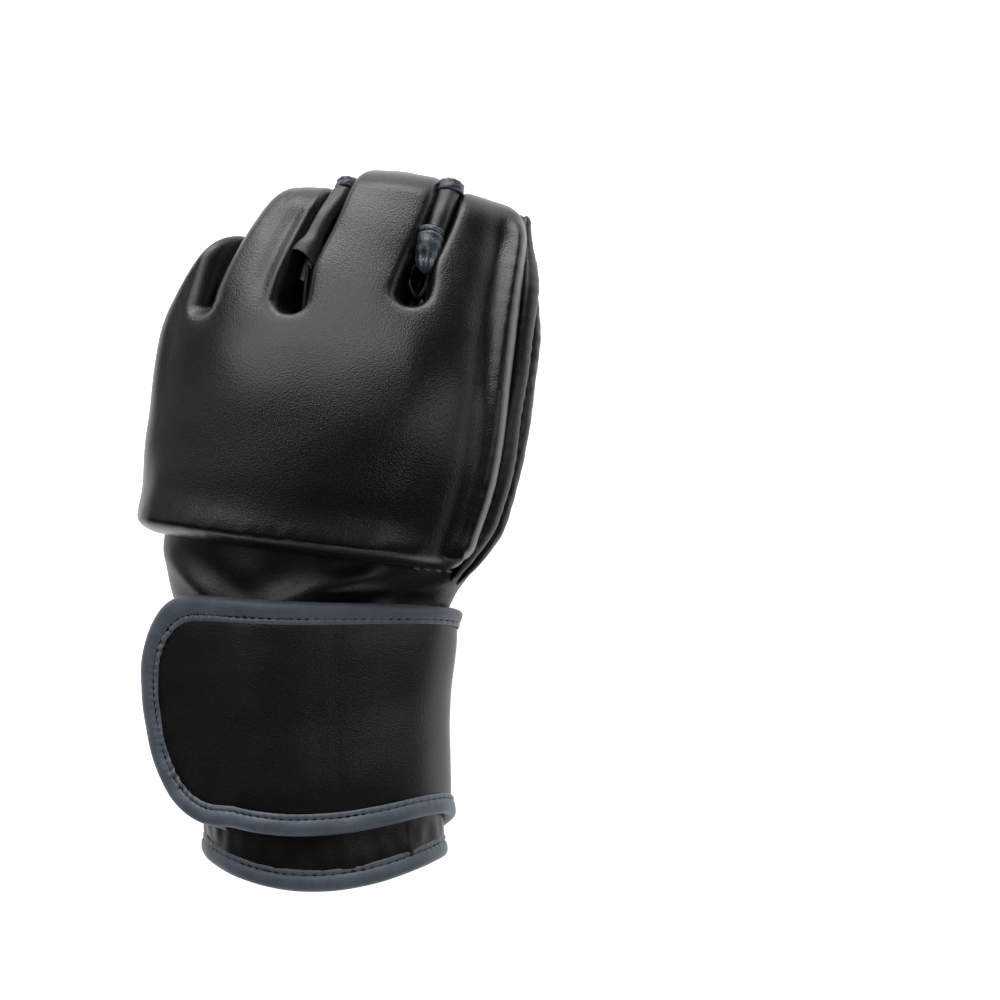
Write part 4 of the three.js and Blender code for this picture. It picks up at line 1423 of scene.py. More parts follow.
@dataclass
class FingerSlot:
    """The binding of the palm leather's edge at the finger tubes, with its sewn patch."""

    sleeve: Sleeve
    edge: float = 176.5
    first: float = -156
    last: float = -24
    leather: float = 1.6
    tape: Tape = Tape(width=6.2, half=1.5)
    patch: tuple[float, float] = (-126, -78)

    def build(self, wardrobe: Wardrobe) -> None:
        """Makes the binding, its patch and the stitches."""
        tape, middle = self.tape, -self.leather / 2
        angles = np.linspace(self.first, self.last, 400)
        line = self.sleeve.place(self.edge, angles, middle)
        size = lengths(line)[-1]

        def shape(u: np.ndarray, v: np.ndarray) -> np.ndarray:
            """The piece's points for shares of its cut."""
            inward, height = tape.section(2 * v - 1)
            angle = mix(self.first, self.last, u)
            height = tape.puffed(u * size, inward, height) + 0.12 * uneven(u * size, inward, 12, 52)
            return self.sleeve.place(self.edge - inward, angle, middle + height)

        piece = Bench.sheet("finger_slot_tape", int(size / tape.cell), 34, shape)
        Bench.wall(piece, tape.cloth)
        Bench.complete(piece, Slot.BINDING, (wardrobe.binding,), "finger_slot_binding")
        tape.declare(piece, size, "palm_panel_leather")
        stitched = self.edge - tape.stitch_share * tape.width
        line = self.sleeve.place(stitched, angles, middle + tape.stitch_lift * tape.half)
        outward = self.sleeve.outward(stitched, angles)
        tape.thread.sew("finger_slot_stitches", line, outward, 53, wardrobe.thread)
        self.build_patch(wardrobe)

    def build_patch(self, wardrobe: Wardrobe) -> None:
        """Makes the short patch sewn over the middle of the binding."""
        low, high = self.edge - 5.9, self.edge - 0.6
        base = self.tape.half - self.leather / 2

        def face(lift: float) -> Shape:
            """One face of the piece, at a depth or a lift."""
            def points(u: np.ndarray, v: np.ndarray) -> np.ndarray:
                """The piece's points for shares of its cut."""
                near = np.minimum(np.minimum(u, 1 - u) * 44, np.minimum(v, 1 - v) * 5.3)
                height = base + lift * (0.25 + 0.75 * rise(near, 0.9))
                return self.sleeve.place(mix(low, high, v), mix(*self.patch, u), height)
            return points

        patch = Bench.sheet("finger_slot_patch", 60, 12, face(0.85))
        Bench.wall(patch, 0.6, face(-0.6))
        Bench.complete(patch, Slot.BINDING, (wardrobe.binding,))
        inset = 0.9
        across = np.linspace(self.patch[0] + 1.1, self.patch[1] - 1.1, 60)
        ends = np.linspace(low + inset, high - inset, 12)
        line = np.vstack([
            np.c_[np.full(60, low + inset), across], np.c_[ends, np.full(12, across[-1])],
            np.c_[np.full(60, high - inset), across[::-1]], np.c_[ends[::-1], np.full(12, across[0])],
        ])
        spots = self.sleeve.place(line[:, 0], line[:, 1], base + 0.85)
        outward = self.sleeve.outward(line[:, 0], line[:, 1])
        self.tape.thread.sew("finger_slot_patch_stitches", spots, outward, 54, wardrobe.thread)


# The finger tubes


@dataclass
class FingerTubes:
    """The four open finger tubes, leather outside and knit inside."""

    sleeve: Sleeve
    start: float = 177.2
    wall: float = 1.4
    gap: float = 0.3
    slant: float = 9
    boxiness: float = 2.7
    hem: float = 2.8

    def rounded(self, value: np.ndarray) -> np.ndarray:
        """A sine or cosine made boxier."""
        return np.sign(value) * np.abs(value) ** (2 / self.boxiness)

    def point(
        self, finger: Finger, share: np.ndarray, turn: np.ndarray, inward: float,
        proud: np.ndarray | float = 0,
    ) -> np.ndarray:
        """A point of a finger's tube, in mm.

        Args:
            finger: the finger.
            share: from the palm, 0, to the rim, 1.
            turn: the angle round the tube, a quarter turn being towards the back.
            inward: how far inside the outer face.
            proud: how far outside it, where the leather puffs.

        Returns:
            The points.
        """
        shortening = self.slant * (1 - np.sin(turn)) / 2
        along = mix(self.start, finger.rim - shortening, share)
        top = self.sleeve.place(along, finger.tube_angle, 0)
        out = unit(self.sleeve.place(along, finger.tube_angle, 1) - top)
        side = unit(np.cross(self.sleeve.axes(along)[1], out))
        centre = top - out * (finger.half_depth + self.gap)
        swell = proud - inward
        return (
            centre
            + side * ((finger.half_width + swell) * self.rounded(np.cos(turn)))[..., None]
            + out * ((finger.half_depth + swell) * self.rounded(np.sin(turn)))[..., None]
        )

    def puff(self, finger: Finger, share: np.ndarray, turn: np.ndarray) -> np.ndarray:
        """How the leather puffs and tucks, in mm."""
        length = finger.rim - self.start
        to_rim = (1 - share) * length
        seed = 60 + FINGERS.index(finger)
        free = step(-np.sin(turn), -0.4, 0.3)
        tuck = 0.5 * np.sin(5 * turn + seed) * hump(to_rim, 0, 7)
        tuck += 0.35 * np.sin(8 * turn + 2.2 * seed) * hump(to_rim, 0, 4)
        pull = -0.25 * hump(to_rim, self.hem, 0.9) + 0.15 * hump(to_rim, 0.8, 0.9)
        soft = 0.35 * uneven(turn * 9, share * length, 16, seed)
        return (tuck + pull) * (0.35 + 0.65 * free) + soft * step(share, 0, 0.3) * free

    def build(self, wardrobe: Wardrobe) -> None:
        """Makes the tubes and the stitches of their hems."""
        for finger in FINGERS:
            self.build_tube(finger, wardrobe)

    def build_tube(self, finger: Finger, wardrobe: Wardrobe) -> None:
        """Makes one finger's tube."""
        def face(inward: float) -> Shape:
            """One face of the piece, at a depth or a lift."""
            def points(u: np.ndarray, v: np.ndarray) -> np.ndarray:
                """The piece's points for shares of its cut."""
                turn = 2 * np.pi * v
                near_rim = 1 - step(1 - u, 0, 0.02)
                thin = inward * (1 - 0.35 * near_rim)
                return self.point(finger, u, turn, thin, self.puff(finger, u, turn))
            return points

        name = f"{finger.name}_tube_leather"
        tube = Bench.sheet(name, 56, 96, face(0), Round.JOINED)
        Bench.wall(tube, self.wall, face(self.wall), inner_slot=1)
        Bench.soften(tube, 0.35, 50)
        node = f"{finger.name}_finger_tube"
        Bench.complete(tube, Slot.LEATHER, (wardrobe.leather, wardrobe.tube_knit), node)
        length = finger.rim - self.start - self.slant / 2
        turn = np.linspace(0, 2 * np.pi, 200)
        girth = lengths(self.point(finger, np.full(200, 0.5), turn, self.wall / 2))[-1]
        length * MM
        turn = np.linspace(np.pi * 0.97, 2.03 * np.pi, 160)
        along = finger.rim - self.slant * (1 - np.sin(turn)) / 2 - self.start
        share = 1 - self.hem / along
        line = self.point(finger, share, turn, 0.05, self.puff(finger, share, turn))
        over = self.point(finger, share, turn, -1.0, self.puff(finger, share, turn))
        Thread(pitch=2.7).sew(f"{finger.name}_tube_stitches", line, unit(over - line), 70, wardrobe.thread)


# Rolls of leather in the grooves and at the sides


@dataclass(frozen=True)
class Roll:
    """A roll of leather that runs along the sleeve, in degrees and mm."""

    name: str
    node: str
    angle: float
    start: float
    stop: float
    height: float
    radius: float
    flat: float = 1.0
    bend: float = 0.0
    taper: float = 26
    lean: float = 0.0


@dataclass
class SideRolls:
    """The rolled seams at the thumb side and the little finger's side."""

    sleeve: Sleeve
    rolls: tuple[Roll, ...] = (
        Roll("thumb_side_roll", "thumb_gusset_roll", 17, 103.5, 236, 3.3, 3.1, 1.12, 3.0, 30, 5.0),
        Roll("thumb_side_welt", "thumb_edge_welt", 3.5, 102, 222, 2.6, 2.6, 1.1, 8.0, 40, 7.0),
        Roll("pinky_side_roll", "pinky_gusset_roll", 178, 114, 204, 2.7, 2.5, 1.1),
    )

    def build(self, wardrobe: Wardrobe) -> None:
        """Makes the rolls."""
        for number, roll in enumerate(self.rolls):
            self.build_roll(roll, 80 + number, wardrobe)

    def build_roll(self, roll: Roll, seed: int, wardrobe: Wardrobe) -> None:
        """Makes one roll, closed and rounded at both ends."""
        length = roll.stop - roll.start

        def shape(u: np.ndarray, v: np.ndarray) -> np.ndarray:
            """The piece's points for shares of its cut."""
            share = 0.5 - 0.5 * np.cos(np.pi * u)
            share = mix(u, share, 0.35)
            along, turn = mix(roll.start, roll.stop, share), 2 * np.pi * v
            low, high = share * length, (1 - share) * length
            thin = mix(0.3, 1, step(low, 0, 22)) * mix(0.5, 1, step(high, 0, roll.taper))
            radius = roll.radius * thin * rise(low, 2) * rise(high, 3)
            lumps = 0.05 * uneven(along, along * 0, 30, seed)
            lumps = lumps + 0.03 * uneven(along * 1.5, turn * 4, 8, seed + 5)
            radius = radius * (1 + lumps)
            angle = roll.angle + roll.bend * (1 - step(low, 0, 24)) + roll.lean * (1 - step(high, 0, 24))
            height = roll.height * thin + 0.3 * uneven(along, along * 0, 40, seed + 9) * thin
            return self.sleeve.swept(along, angle, height, radius, turn, roll.flat)

        piece = Bench.sheet(roll.name, 150, 28, shape, Round.JOINED)
        Bench.complete(piece, Slot.LEATHER, (wardrobe.leather,), roll.node)


@dataclass
class GrooveRolls:
    """The rolled gussets in the pad's grooves, with the gray gathered end of the slot's binding."""

    sleeve: Sleeve
    wall: float = 0.8

    def build(self, wardrobe: Wardrobe) -> None:
        """Makes the three gussets, the knob and the loops under them."""
        self.open_roll(wardrobe)
        self.index_roll(wardrobe)
        self.small_roll(wardrobe)
        self.knob(wardrobe)
        self.web("ring_groove_web", (178, 227), (105.5, 100.0), wardrobe)
        self.web("index_groove_web", (178, 232), (68.5, 62.0), wardrobe)

    def web(
        self, name: str, run: tuple[float, float], angles: tuple[float, float], wardrobe: Wardrobe
    ) -> None:
        """Makes the strip of leather that closes the gap between two finger tubes, under a gusset."""
        reach, thickness, top, dip = 6.5, 0.8, 0.9, 2.6

        def face(depth: float) -> Shape:
            """One face of the piece, at a depth or a lift."""
            def points(u: np.ndarray, v: np.ndarray) -> np.ndarray:
                """The piece's points for shares of its cut."""
                side = 2 * v - 1
                sag = dip * (1 - side**2) * step(u, 0, 0.15)
                return self.sleeve.place(mix(*run, u), mix(*angles, u) + reach * side, top - sag - depth)
            return points

        piece = Bench.sheet(name, 50, 16, face(0))
        Bench.wall(piece, thickness, face(thickness))
        Bench.complete(piece, Slot.LEATHER, (wardrobe.leather,))

    def open_roll(self, wardrobe: Wardrobe) -> None:
        """The ring and middle fingers' gusset, a tube of leather that is open at its lower end."""
        start, stop = 196.5, 229

        def face(inward: float) -> Shape:
            """One face of the piece, at a depth or a lift."""
            def points(u: np.ndarray, v: np.ndarray) -> np.ndarray:
                """The piece's points for shares of its cut."""
                along, turn = mix(start, stop, u), 2 * np.pi * v
                flare = 1.7 * (1 - step(u, 0, 0.34)) + 0.35 * step(u, 0.6, 1)
                cap = rise((1 - u) * (stop - start), 3.0)
                seam = 0.35 * hump(v, 0.33, 0.03)
                collar = -0.3 * hump(u, 0.9, 0.02)
                radius = np.maximum((3.3 + flare + collar + seam) * cap - inward * cap, 0)
                height = 13.2 - 2.4 * step(u, 0.5, 1) - 0.9 * (1 - step(u, 0, 0.25))
                slope = along + 3.6 * np.sin(turn - 0.5) * (1 - step(u, 0, 0.3))
                return self.sleeve.swept(slope, mix(106.8, 99.0, u), height, radius, turn, 1.06)
            return points

        piece = Bench.sheet("ring_groove_roll", 70, 40, face(0), Round.JOINED)
        Bench.wall(piece, self.wall, face(self.wall))
        Bench.soften(piece, 0.2, 60)
        Bench.complete(piece, Slot.LEATHER, (wardrobe.leather,), "ring_middle_gusset")
        self.cordlike("ring_groove_piping", (184, 198), 105.4, (5.5, 11.0), 0.75, wardrobe)
        self.cap("ring_groove_collar", (225.2, 230.2), 99.1, 11.2, 3.95, 130, wardrobe)

    def index_roll(self, wardrobe: Wardrobe) -> None:
        """The middle and index fingers' gusset above the knob."""
        start, stop = 212, 233

        def points(u: np.ndarray, v: np.ndarray) -> np.ndarray:
            """The piece's points for shares of its cut."""
            along, turn = mix(start, stop, u), 2 * np.pi * v
            ends = rise(u * (stop - start), 2.0) * rise((1 - u) * (stop - start), 3.4)
            collar = -0.3 * hump(u, 0.84, 0.03)
            radius = (3.2 + 0.6 * u + collar) * ends
            angle, height = mix(65.3, 62.8, u), 13 - 2.2 * step(u, 0.3, 1)
            return self.sleeve.swept(along, angle, height, radius, turn, 1.05)

        piece = Bench.sheet("index_groove_roll", 60, 40, points, Round.JOINED)
        Bench.complete(piece, Slot.LEATHER, (wardrobe.leather,), "middle_index_gusset")
        self.cap("index_groove_collar", (229.0, 234.5), 62.9, 11.2, 4.1, 131, wardrobe)

    def cap(
        self, name: str, run: tuple[float, float], angle: float, height: float, radius: float,
        seed: int, wardrobe: Wardrobe,
    ) -> None:
        """Makes the gathered collar that closes a gusset's upper end."""
        def points(u: np.ndarray, v: np.ndarray) -> np.ndarray:
            """The piece's points for shares of its cut."""
            along, turn = mix(*run, u), 2 * np.pi * v
            length = run[1] - run[0]
            ends = rise(u * length, 0.7) * rise((1 - u) * length, 2.0)
            pleats = 0.2 * np.sin(11 * turn + seed) * step(u, 0.3, 0.9)
            crumple = 0.15 * uneven(turn * radius, along * 2, 5, seed)
            return self.sleeve.swept(along, angle, height, (radius + pleats + crumple) * ends, turn, 1.05)

        piece = Bench.sheet(name, 24, 66, points, Round.JOINED)
        # The gathered material is the gray binding with painted shade, and painted highlights on its pleats.
        Bench.complete(piece, Slot.BINDING, (wardrobe.gathered,))

    def small_roll(self, wardrobe: Wardrobe) -> None:
        """The little finger's gusset."""
        start, stop = 189, 209

        def points(u: np.ndarray, v: np.ndarray) -> np.ndarray:
            """The piece's points for shares of its cut."""
            along, turn = mix(start, stop, u), 2 * np.pi * v
            ends = rise(u * (stop - start), 3.0) * rise((1 - u) * (stop - start), 2.6)
            return self.sleeve.swept(along, mix(137.2, 134.5, u), 9.5 - 2.0 * u, 2.2 * ends, turn)

        piece = Bench.sheet("pinky_groove_roll", 40, 28, points, Round.JOINED)
        Bench.complete(piece, Slot.LEATHER, (wardrobe.leather,), "pinky_ring_gusset")

    def knob(self, wardrobe: Wardrobe) -> None:
        """The gathered gray end of the binding, with its collar and the loop below it."""
        start, stop = 198.5, 214

        def points(u: np.ndarray, v: np.ndarray) -> np.ndarray:
            """The piece's points for shares of its cut."""
            along, turn = mix(start, stop, u), 2 * np.pi * v
            length = stop - start
            ends = rise(u * length, 9.0) * rise((1 - u) * length, 1.2)
            pleats = 0.42 * np.sin(8 * turn + 1.5 * np.sin(turn))
            pleats *= (1 - step(u, 0.25, 0.6)) * step(u, 0.02, 0.15)
            creases = 0.16 * uneven(turn * 3.4, u * 15, 4.2, 91)
            pucker = -1.2 * hump(np.cos(turn - 1.9), 1, 0.35) * hump(u, 0.3, 0.14)
            collar = 0.1 * hump(u, 0.93, 0.05) - 0.5 * hump(u, 0.83, 0.025)
            radius = (4.1 + pleats + creases + collar + pucker) * ends
            return self.sleeve.swept(along, 65.9 + 0.6 * u, 13.2 + 0.5 * u, radius, turn, 1.04)

        piece = Bench.sheet("binding_knob", 72, 56, points, Round.JOINED)
        # The gathered material is the gray binding with painted shade, and painted highlights on its pleats.
        Bench.complete(piece, Slot.BINDING, (wardrobe.gathered,), "middle_index_knob")
        self.cordlike("index_groove_loop_left", (193, 203), 68.5, (6.0, 11.8), 0.85, wardrobe, -3.2)
        self.cordlike("index_groove_loop_right", (192.6, 203), 67.5, (6.5, 12.2), 1.15, wardrobe, 2.6)

    def cordlike(
        self, name: str, run: tuple[float, float], angle: float, heights: tuple[float, float],
        radius: float, wardrobe: Wardrobe, bow: float = 0.0,
    ) -> None:
        """Makes a thin piped edge that runs down into a groove."""
        def points(u: np.ndarray, v: np.ndarray) -> np.ndarray:
            """The piece's points for shares of its cut."""
            along, turn = mix(*run, u), 2 * np.pi * v
            ends = rise(u * 15, 1.0) * rise((1 - u) * 15, 1.0)
            spot = angle - bow * np.sin(np.pi * u)
            return self.sleeve.swept(along, spot, mix(*heights, u), radius * ends, turn)

        piece = Bench.sheet(name, 28, 14, points, Round.JOINED)
        Bench.complete(piece, Slot.LEATHER, (wardrobe.glossy,))


# The wrist


@dataclass
class WristCuff:
    """The cuff round the wrist and the binding of its mouth."""

    sleeve: Sleeve
    stop: float = 74
    wall: float = 2.4
    tape: Tape = Tape(width=6.4, half=1.9)
    mouth_rise: float = 9
    seam_angle: float = 37

    def mouth(self, angle: np.ndarray) -> np.ndarray:
        """Where the mouth's edge lies along the sleeve."""
        return self.mouth_rise * np.cos(np.radians(angle)) ** 2

    def puff(self, along: np.ndarray, angle: np.ndarray) -> np.ndarray:
        """The leather's puff between its seams and the overlap of its side seam, in mm."""
        across = 40 * np.radians(angle)
        from_mouth = along - self.mouth(angle)
        swell = 0.8 * rise(from_mouth - 4, 7) * (1 - step(along, 20, 40))
        crinkle = 0.16 * uneven(across * 1.3, along * 0.7, 12, 101) * hump(from_mouth, 9, 6)
        overlap = 0.5 * step(angle, self.seam_angle - 9, self.seam_angle - 0.6)
        overlap *= 1 - step(angle, self.seam_angle - 0.5, self.seam_angle + 0.5)
        return swell + crinkle + 0.2 * uneven(across, along, 26, 102) + overlap

    def build(self, wardrobe: Wardrobe) -> None:
        """Makes the cuff, its binding and the stitches."""
        def face(depth: float) -> Shape:
            """One face of the piece, at a depth or a lift."""
            def points(u: np.ndarray, v: np.ndarray) -> np.ndarray:
                """The piece's points for shares of its cut."""
                angle = 360 * v
                along = mix(self.mouth(angle) + 3.0, self.stop, u)
                return self.sleeve.place(along, angle, self.puff(along, angle) * (depth == 0) - depth)
            return points

        cuff = Bench.sheet("cuff_leather", 60, 360, face(0), Round.JOINED)
        Bench.wall(cuff, self.wall, face(self.wall), inner_slot=1)
        Bench.complete(cuff, Slot.LEATHER, (wardrobe.leather, wardrobe.knit), "wrist_cuff")
        self.bind(wardrobe)

    def bind(self, wardrobe: Wardrobe) -> None:
        """Makes the binding of the mouth."""
        tape, middle = self.tape, -self.wall / 2
        angles = np.linspace(0, 360, 700)
        size = lengths(self.sleeve.place(self.mouth(angles), angles, middle))[-1]

        def shape(u: np.ndarray, v: np.ndarray) -> np.ndarray:
            """The piece's points for shares of its cut."""
            inward, height = tape.section(2 * v - 1)
            angle, run = 360 * u, u * size
            x, y = np.cos(2 * np.pi * u) * 30, np.sin(2 * np.pi * u) * 30
            height = tape.puffed(run, inward, height) + 0.1 * uneven(x, y, 9, 103)
            return self.sleeve.place(self.mouth(angle) + inward, angle, middle + height)

        piece = Bench.sheet("cuff_mouth_tape", 420, 34, shape)
        Bench.merge(piece)
        Bench.wall(piece, tape.cloth)
        Bench.complete(piece, Slot.BINDING, (wardrobe.binding,), "cuff_binding")
        tape.declare(piece, size, "cuff_leather")
        along = self.mouth(angles) + tape.stitch_share * tape.width
        line = self.sleeve.place(along, angles, middle + tape.stitch_lift * tape.half)
        tape.thread.sew("cuff_mouth_stitches", line, self.sleeve.outward(along, angles), 104, wardrobe.thread)


@dataclass
class WristStrap:
    """The wide strap wrapped round the cuff, bound on three sides, with a rounded free end."""

    sleeve: Sleeve
    half: float = 1.3
    half_width: float = 37
    middle: float = 49
    slant: float = 6.5
    side_rise: float = 8
    narrowing: float = 0.09
    start_angle: float = 128
    leave_angle: float = 480
    free_end: float = 34
    free_round: float = 28
    free_power: float = 2.2
    tape: Tape = Tape(width=6.4, half=1.7)
    base: float = 0.3 + 0.6 + 1.7
    pitch: float = 2 * 1.7 + 0.3
    second_turn: tuple[float, float] = (300, 345)
    tucked: tuple[float, float] = (25, 75)
    route: np.ndarray = field(init=False)

    def __post_init__(self) -> None:
        """Walks the strap's route: its distance, angle and height."""
        angle = np.arange(self.start_angle, self.leave_angle + 1, 8.0)
        low, high = (self.start_angle + value for value in self.second_turn)
        height = self.base + self.pitch * step(angle, low, high)
        run = lengths(self.sleeve.place(self.middle, angle, height))
        self.route = np.stack([run, angle, height], axis=1)

    def leave(self) -> float:
        """The distance at which the free end leaves the wrist."""
        return float(self.route[-1, 0])

    def length(self) -> float:
        """The strap's length, in mm."""
        return self.leave() + self.free_end

    def place(self, distance: np.ndarray, breadth: np.ndarray, height: np.ndarray) -> np.ndarray:
        """Points of the strap.

        Args:
            distance: how far along the strap.
            breadth: how far from its middle line.
            height: how far off its middle layer.

        Returns:
            The points, in mm in the part's frame.
        """
        run, angles, heights = self.route.T
        angle = np.interp(distance, run, angles)
        off = np.interp(distance, run, heights) + height
        turn = np.radians(angle)
        sideways = np.cos(turn) ** 2
        shown = step(distance, *self.tucked)
        shift = (self.slant * np.sin(turn) + self.side_rise * sideways) * mix(0.45, 1, shown)
        along = self.middle + shift + breadth * (1 - self.narrowing * sideways) * mix(0.95, 1, shown)
        point = self.sleeve.place(along, angle, off)
        past = np.clip(distance - self.leave(), 0, None)
        heading = unit(point - self.sleeve.place(along, angle - 2, off))
        return point + heading * past[..., None]

    def half_breadth(self, distance: np.ndarray, margin: float) -> np.ndarray:
        """Half the strap's breadth inside a margin, rounded at the free end."""
        round_length = self.free_round - margin
        into = np.clip((distance - (self.length() - margin - round_length)) / round_length, 0, 1)
        return (self.half_width - margin) * (1 - into**self.free_power) ** (1 / self.free_power)

    def edge(self, margin: float, count: int) -> np.ndarray:
        """The strap's outline inside a margin, as distances and breadths."""
        round_length = self.free_round - margin
        bend = self.length() - margin - round_length
        turn = np.linspace(0, np.pi / 2, 300)[1:]
        stops = np.concatenate([np.linspace(0, bend, 600), bend + round_length * np.sin(turn)])
        half = self.half_breadth(stops, margin)
        lower = np.stack([stops, -half], axis=1)
        line = np.vstack([lower, np.stack([stops, half], axis=1)[::-1]])
        return along_line(line, np.linspace(0, 1, count))

    def loosen(self, distance: np.ndarray, breadth: np.ndarray) -> np.ndarray:
        """The strap's soft unevenness on its visible turn, in mm."""
        seen = step(distance, self.length() - 190, self.length() - 150)
        return seen * (0.3 * uneven(distance, breadth, 44, 111) + 0.05 * uneven(distance, breadth, 17, 112))

    def build(self, wardrobe: Wardrobe) -> None:
        """Makes the strap, its binding and the stitches."""
        margin = 4.6
        bend = self.length() - margin

        def face(lift: float) -> Shape:
            """One face of the piece, at a depth or a lift."""
            def points(u: np.ndarray, v: np.ndarray) -> np.ndarray:
                """The piece's points for shares of its cut."""
                closing = np.sin(np.clip(u - 0.8, 0, 0.2) / 0.2 * np.pi / 2)
                distance = np.minimum(bend * np.where(u < 0.8, u / 0.8 * 0.9, 0.9 + 0.1 * closing), bend)
                half = self.half_breadth(distance, margin)
                breadth = half * (2 * v - 1)
                inside = np.minimum(half - np.abs(breadth), bend - distance)
                pillow = 0.55 * rise(inside - 1.2, 9)
                height = lift * (self.half - 0.25) + (pillow + self.loosen(distance, breadth)) * (lift > 0)
                return self.place(distance, breadth, height)
            return points

        strap = Bench.sheet("strap_leather", 300, 56, face(1))
        Bench.wall(strap, 2 * self.half, face(-1))
        Bench.merge(strap)
        Bench.complete(strap, Slot.LEATHER, (wardrobe.leather,), "wrist_strap")
        self.length() * MM
        self.bind(wardrobe)

    def bind(self, wardrobe: Wardrobe) -> None:
        """Makes the strap's binding."""
        tape = self.tape
        count = 1100
        outer, inner = self.edge(0, 4000), self.edge(tape.width, 4000)
        size = float(lengths(outer)[-1])
        around = self.free_corner_share(outer)

        def spot(u: np.ndarray, inward: np.ndarray) -> np.ndarray:
            """Places on the strap at shares of its outline, some way inward."""
            at = np.rint(u * (len(outer) - 1)).astype(int)
            near = matched(outer, inner, at)
            return mix(outer[at], near, (inward / tape.width)[:, None])

        def shape(u: np.ndarray, v: np.ndarray) -> np.ndarray:
            """The piece's points for shares of its cut."""
            inward, height = tape.section(2 * v - 1)
            run = u * size
            gather = np.clip(hump(u, around[0], 0.022) + hump(u, around[1], 0.022), 0, 1)
            wave = np.sin(2 * np.pi * run / 4.6 + 1.5 * uneven(run, run * 0, 12, 121))
            ruffle = 0.38 * gather * wave * step(inward, 3.2, 5.6)
            height = tape.puffed(run, inward, height) + ruffle + 0.12 * uneven(run, inward * 2, 14, 122)
            flat = spot(u, inward)
            lift = self.loosen(flat[:, 0], flat[:, 1])
            return self.place(flat[:, 0], flat[:, 1], height + lift)

        piece = Bench.sheet("strap_tape", count, 32, shape)
        Bench.wall(piece, tape.cloth)
        Bench.complete(piece, Slot.BINDING, (wardrobe.binding,), "strap_binding")
        tape.declare(piece, size, "strap_leather")
        share = np.linspace(0, 1, 2400)
        flat = spot(share, np.full(2400, tape.stitch_share * tape.width))
        lift = self.loosen(flat[:, 0], flat[:, 1])
        line = self.place(flat[:, 0], flat[:, 1], lift + tape.stitch_lift * tape.half)
        over = self.place(flat[:, 0], flat[:, 1], lift + tape.stitch_lift * tape.half + 1)
        tape.thread.sew("strap_stitches", line, unit(over - line), 123, wardrobe.thread)

    def free_corner_share(self, outline: np.ndarray) -> tuple[float, float]:
        """Where along the outline the free end's two corners are, as shares."""
        run = lengths(outline)
        middle = self.length() - 0.3 * self.free_round
        picks = []
        for side in (-1, 1):
            other_side = outline[:, 1] * side < 0
            nearest = np.argmin(np.abs(outline[:, 0] - middle) + 1e3 * other_side)
            picks.append(float(run[nearest]) / run[-1])
        return picks[0], picks[1]


def matched(outer: np.ndarray, inner: np.ndarray, at: np.ndarray) -> np.ndarray:
    """The points of an inner outline that lie straight inside points of an outer one."""
    used = outer[np.unique(at)]
    run = lengths(inner)
    nearest = np.empty(len(used))
    for k in range(0, len(used), 200):
        gap = np.linalg.norm(used[k : k + 200, None] - inner[None], axis=2)
        nearest[k : k + 200] = run[gap.argmin(axis=1)]
    smooth = np.maximum.accumulate(nearest)
    position = np.searchsorted(np.unique(at), at)
    return np.stack([np.interp(smooth[position], run, inner[:, k]) for k in range(2)], axis=-1)


# The studio


@dataclass(frozen=True)
class Softbox:
    """One soft light: its name, place and size in metres, and power in watts."""

    name: str
    place: tuple[float, float, float]
    size: tuple[float, float]
    power: float


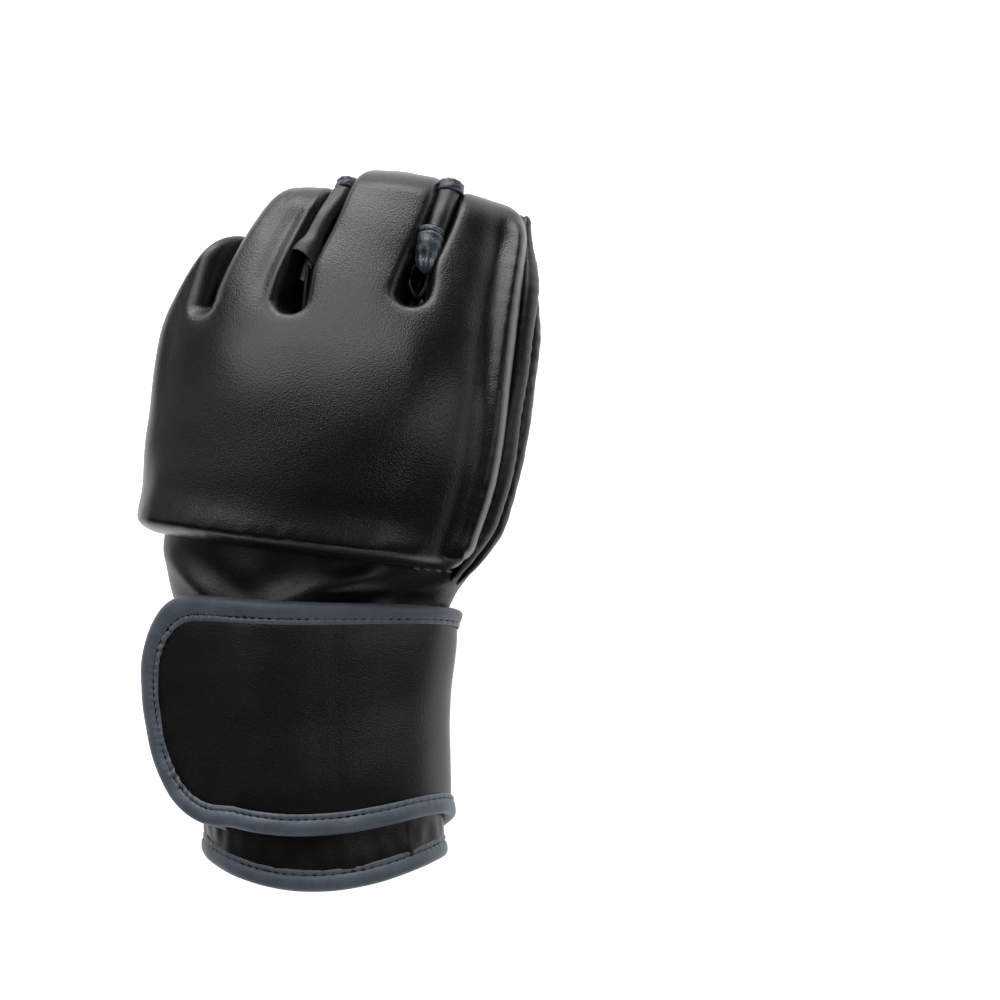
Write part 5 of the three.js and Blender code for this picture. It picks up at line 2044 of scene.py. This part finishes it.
@dataclass
class Studio:
    """The pale floor, the soft lights and the camera, in metres."""

    target: tuple[float, float, float] = (0.05261, 0.0079, 0.030)
    distance: float = 0.8
    tilt: float = 11.5
    lens: float = 88.6
    aim: tuple[float, float, float] = (0, 0, 0.03)
    lights: tuple[Softbox, ...] = (
        Softbox("high finger side light", (-0.30, 0.62, 0.80), (0.8, 0.42), 4.0),
        Softbox("low finger side light", (-0.10, 0.90, 0.30), (0.9, 0.35), 7.6),
        Softbox("high thumb side light", (0.48, 0.10, 0.62), (0.10, 0.9), 0.8),
        Softbox("low thumb side light", (0.75, 0.0, 0.28), (0.2, 0.9), 0.36),
        Softbox("low pinky side light", (-0.65, 0.0, 0.30), (0.20, 0.9), 0.07),
        Softbox("high pinky side light", (-0.60, 0.14, 0.52), (0.12, 0.9), 0.35),
        Softbox("wrist side light", (0.05, -0.75, 0.45), (0.7, 0.25), 1.1),
    )

    def build(self) -> None:
        """Makes the floor, the lights and the camera."""
        self.floor()
        self.sky()
        for light in self.lights:
            self.softbox(light)
        self.camera()

    def floor(self) -> None:
        """Makes the floor."""
        Bench.pick(None)
        bpy.ops.mesh.primitive_grid_add(x_subdivisions=4, y_subdivisions=4, size=30, location=(0, 0, -0.0003))
        floor = bpy.context.active_object
        floor.name = "floor"
        recipe = Recipe("pale floor")
        recipe.shade({
            "Base Color": (0.8, 0.8, 0.8, 1.0), "Roughness": 0.85, "Specular IOR Level": 0.1,
            "Emission Color": (1.0, 1.0, 1.0, 1.0), "Emission Strength": 1.0,
        })
        floor.data.materials.append(recipe.material)

    def sky(self) -> None:
        """Lights the surroundings evenly."""
        world = bpy.data.worlds.new("studio")
        world.use_nodes = True
        background = world.node_tree.nodes["Background"]
        background.inputs["Color"].default_value = (0.98, 0.98, 1.0, 1.0)
        background.inputs["Strength"].default_value = 0.01
        bpy.context.scene.world = world
        bpy.context.scene.view_settings.view_transform = "Standard"

    def softbox(self, made: Softbox) -> None:
        """Makes one soft light that faces the glove."""
        Bench.pick(None)
        bpy.ops.object.light_add(type="AREA", location=made.place)
        light = bpy.context.active_object
        light.name = made.name
        light.data.shape = "RECTANGLE"
        light.data.size, light.data.size_y = made.size
        light.data.energy = made.power
        back = unit(np.array(made.place) - np.array(self.aim))
        up = np.array([0, 0, 1.0])
        right = unit(np.cross(up, back))
        light.rotation_mode = "QUATERNION"
        axes = np.stack([right, np.cross(back, right), back], axis=1)
        light.rotation_quaternion = Matrix(axes.tolist()).to_quaternion()

    def camera(self) -> None:
        """Makes the camera at the photograph's viewing angle."""
        Bench.pick(None)
        turn = math.radians(self.tilt)
        back = np.array([math.sin(turn), 0, math.cos(turn)])
        right = np.array([math.cos(turn), 0, -math.sin(turn)])
        bpy.ops.object.camera_add(location=(np.array(self.target) + back * self.distance).tolist())
        camera = bpy.context.active_object
        camera.rotation_mode = "QUATERNION"
        axes = np.stack([right, np.array([0, 1.0, 0]), back], axis=1)
        camera.rotation_quaternion = Matrix(axes.tolist()).to_quaternion()
        camera.data.lens = self.lens
        camera.data.sensor_width = 36
        camera.data.clip_start = 0.01
        bpy.context.scene.camera = camera


def main() -> None:
    """Builds the glove piece by piece, and the studio round it."""
    logging.basicConfig(level=logging.INFO, format="%(name)s %(message)s")
    sleeve, wardrobe = Sleeve(), Wardrobe()
    Studio().build()
    parts = (
        BackPad(sleeve), BackPanel(sleeve), Palm(sleeve), FingerSlot(sleeve), FingerTubes(sleeve),
        SideRolls(sleeve), GrooveRolls(sleeve), WristCuff(sleeve), WristStrap(sleeve),
    )
    for part in parts:
        LOG.info("building %s", type(part).__name__)
        part.build(wardrobe)


if __name__ == "__main__":
    main()
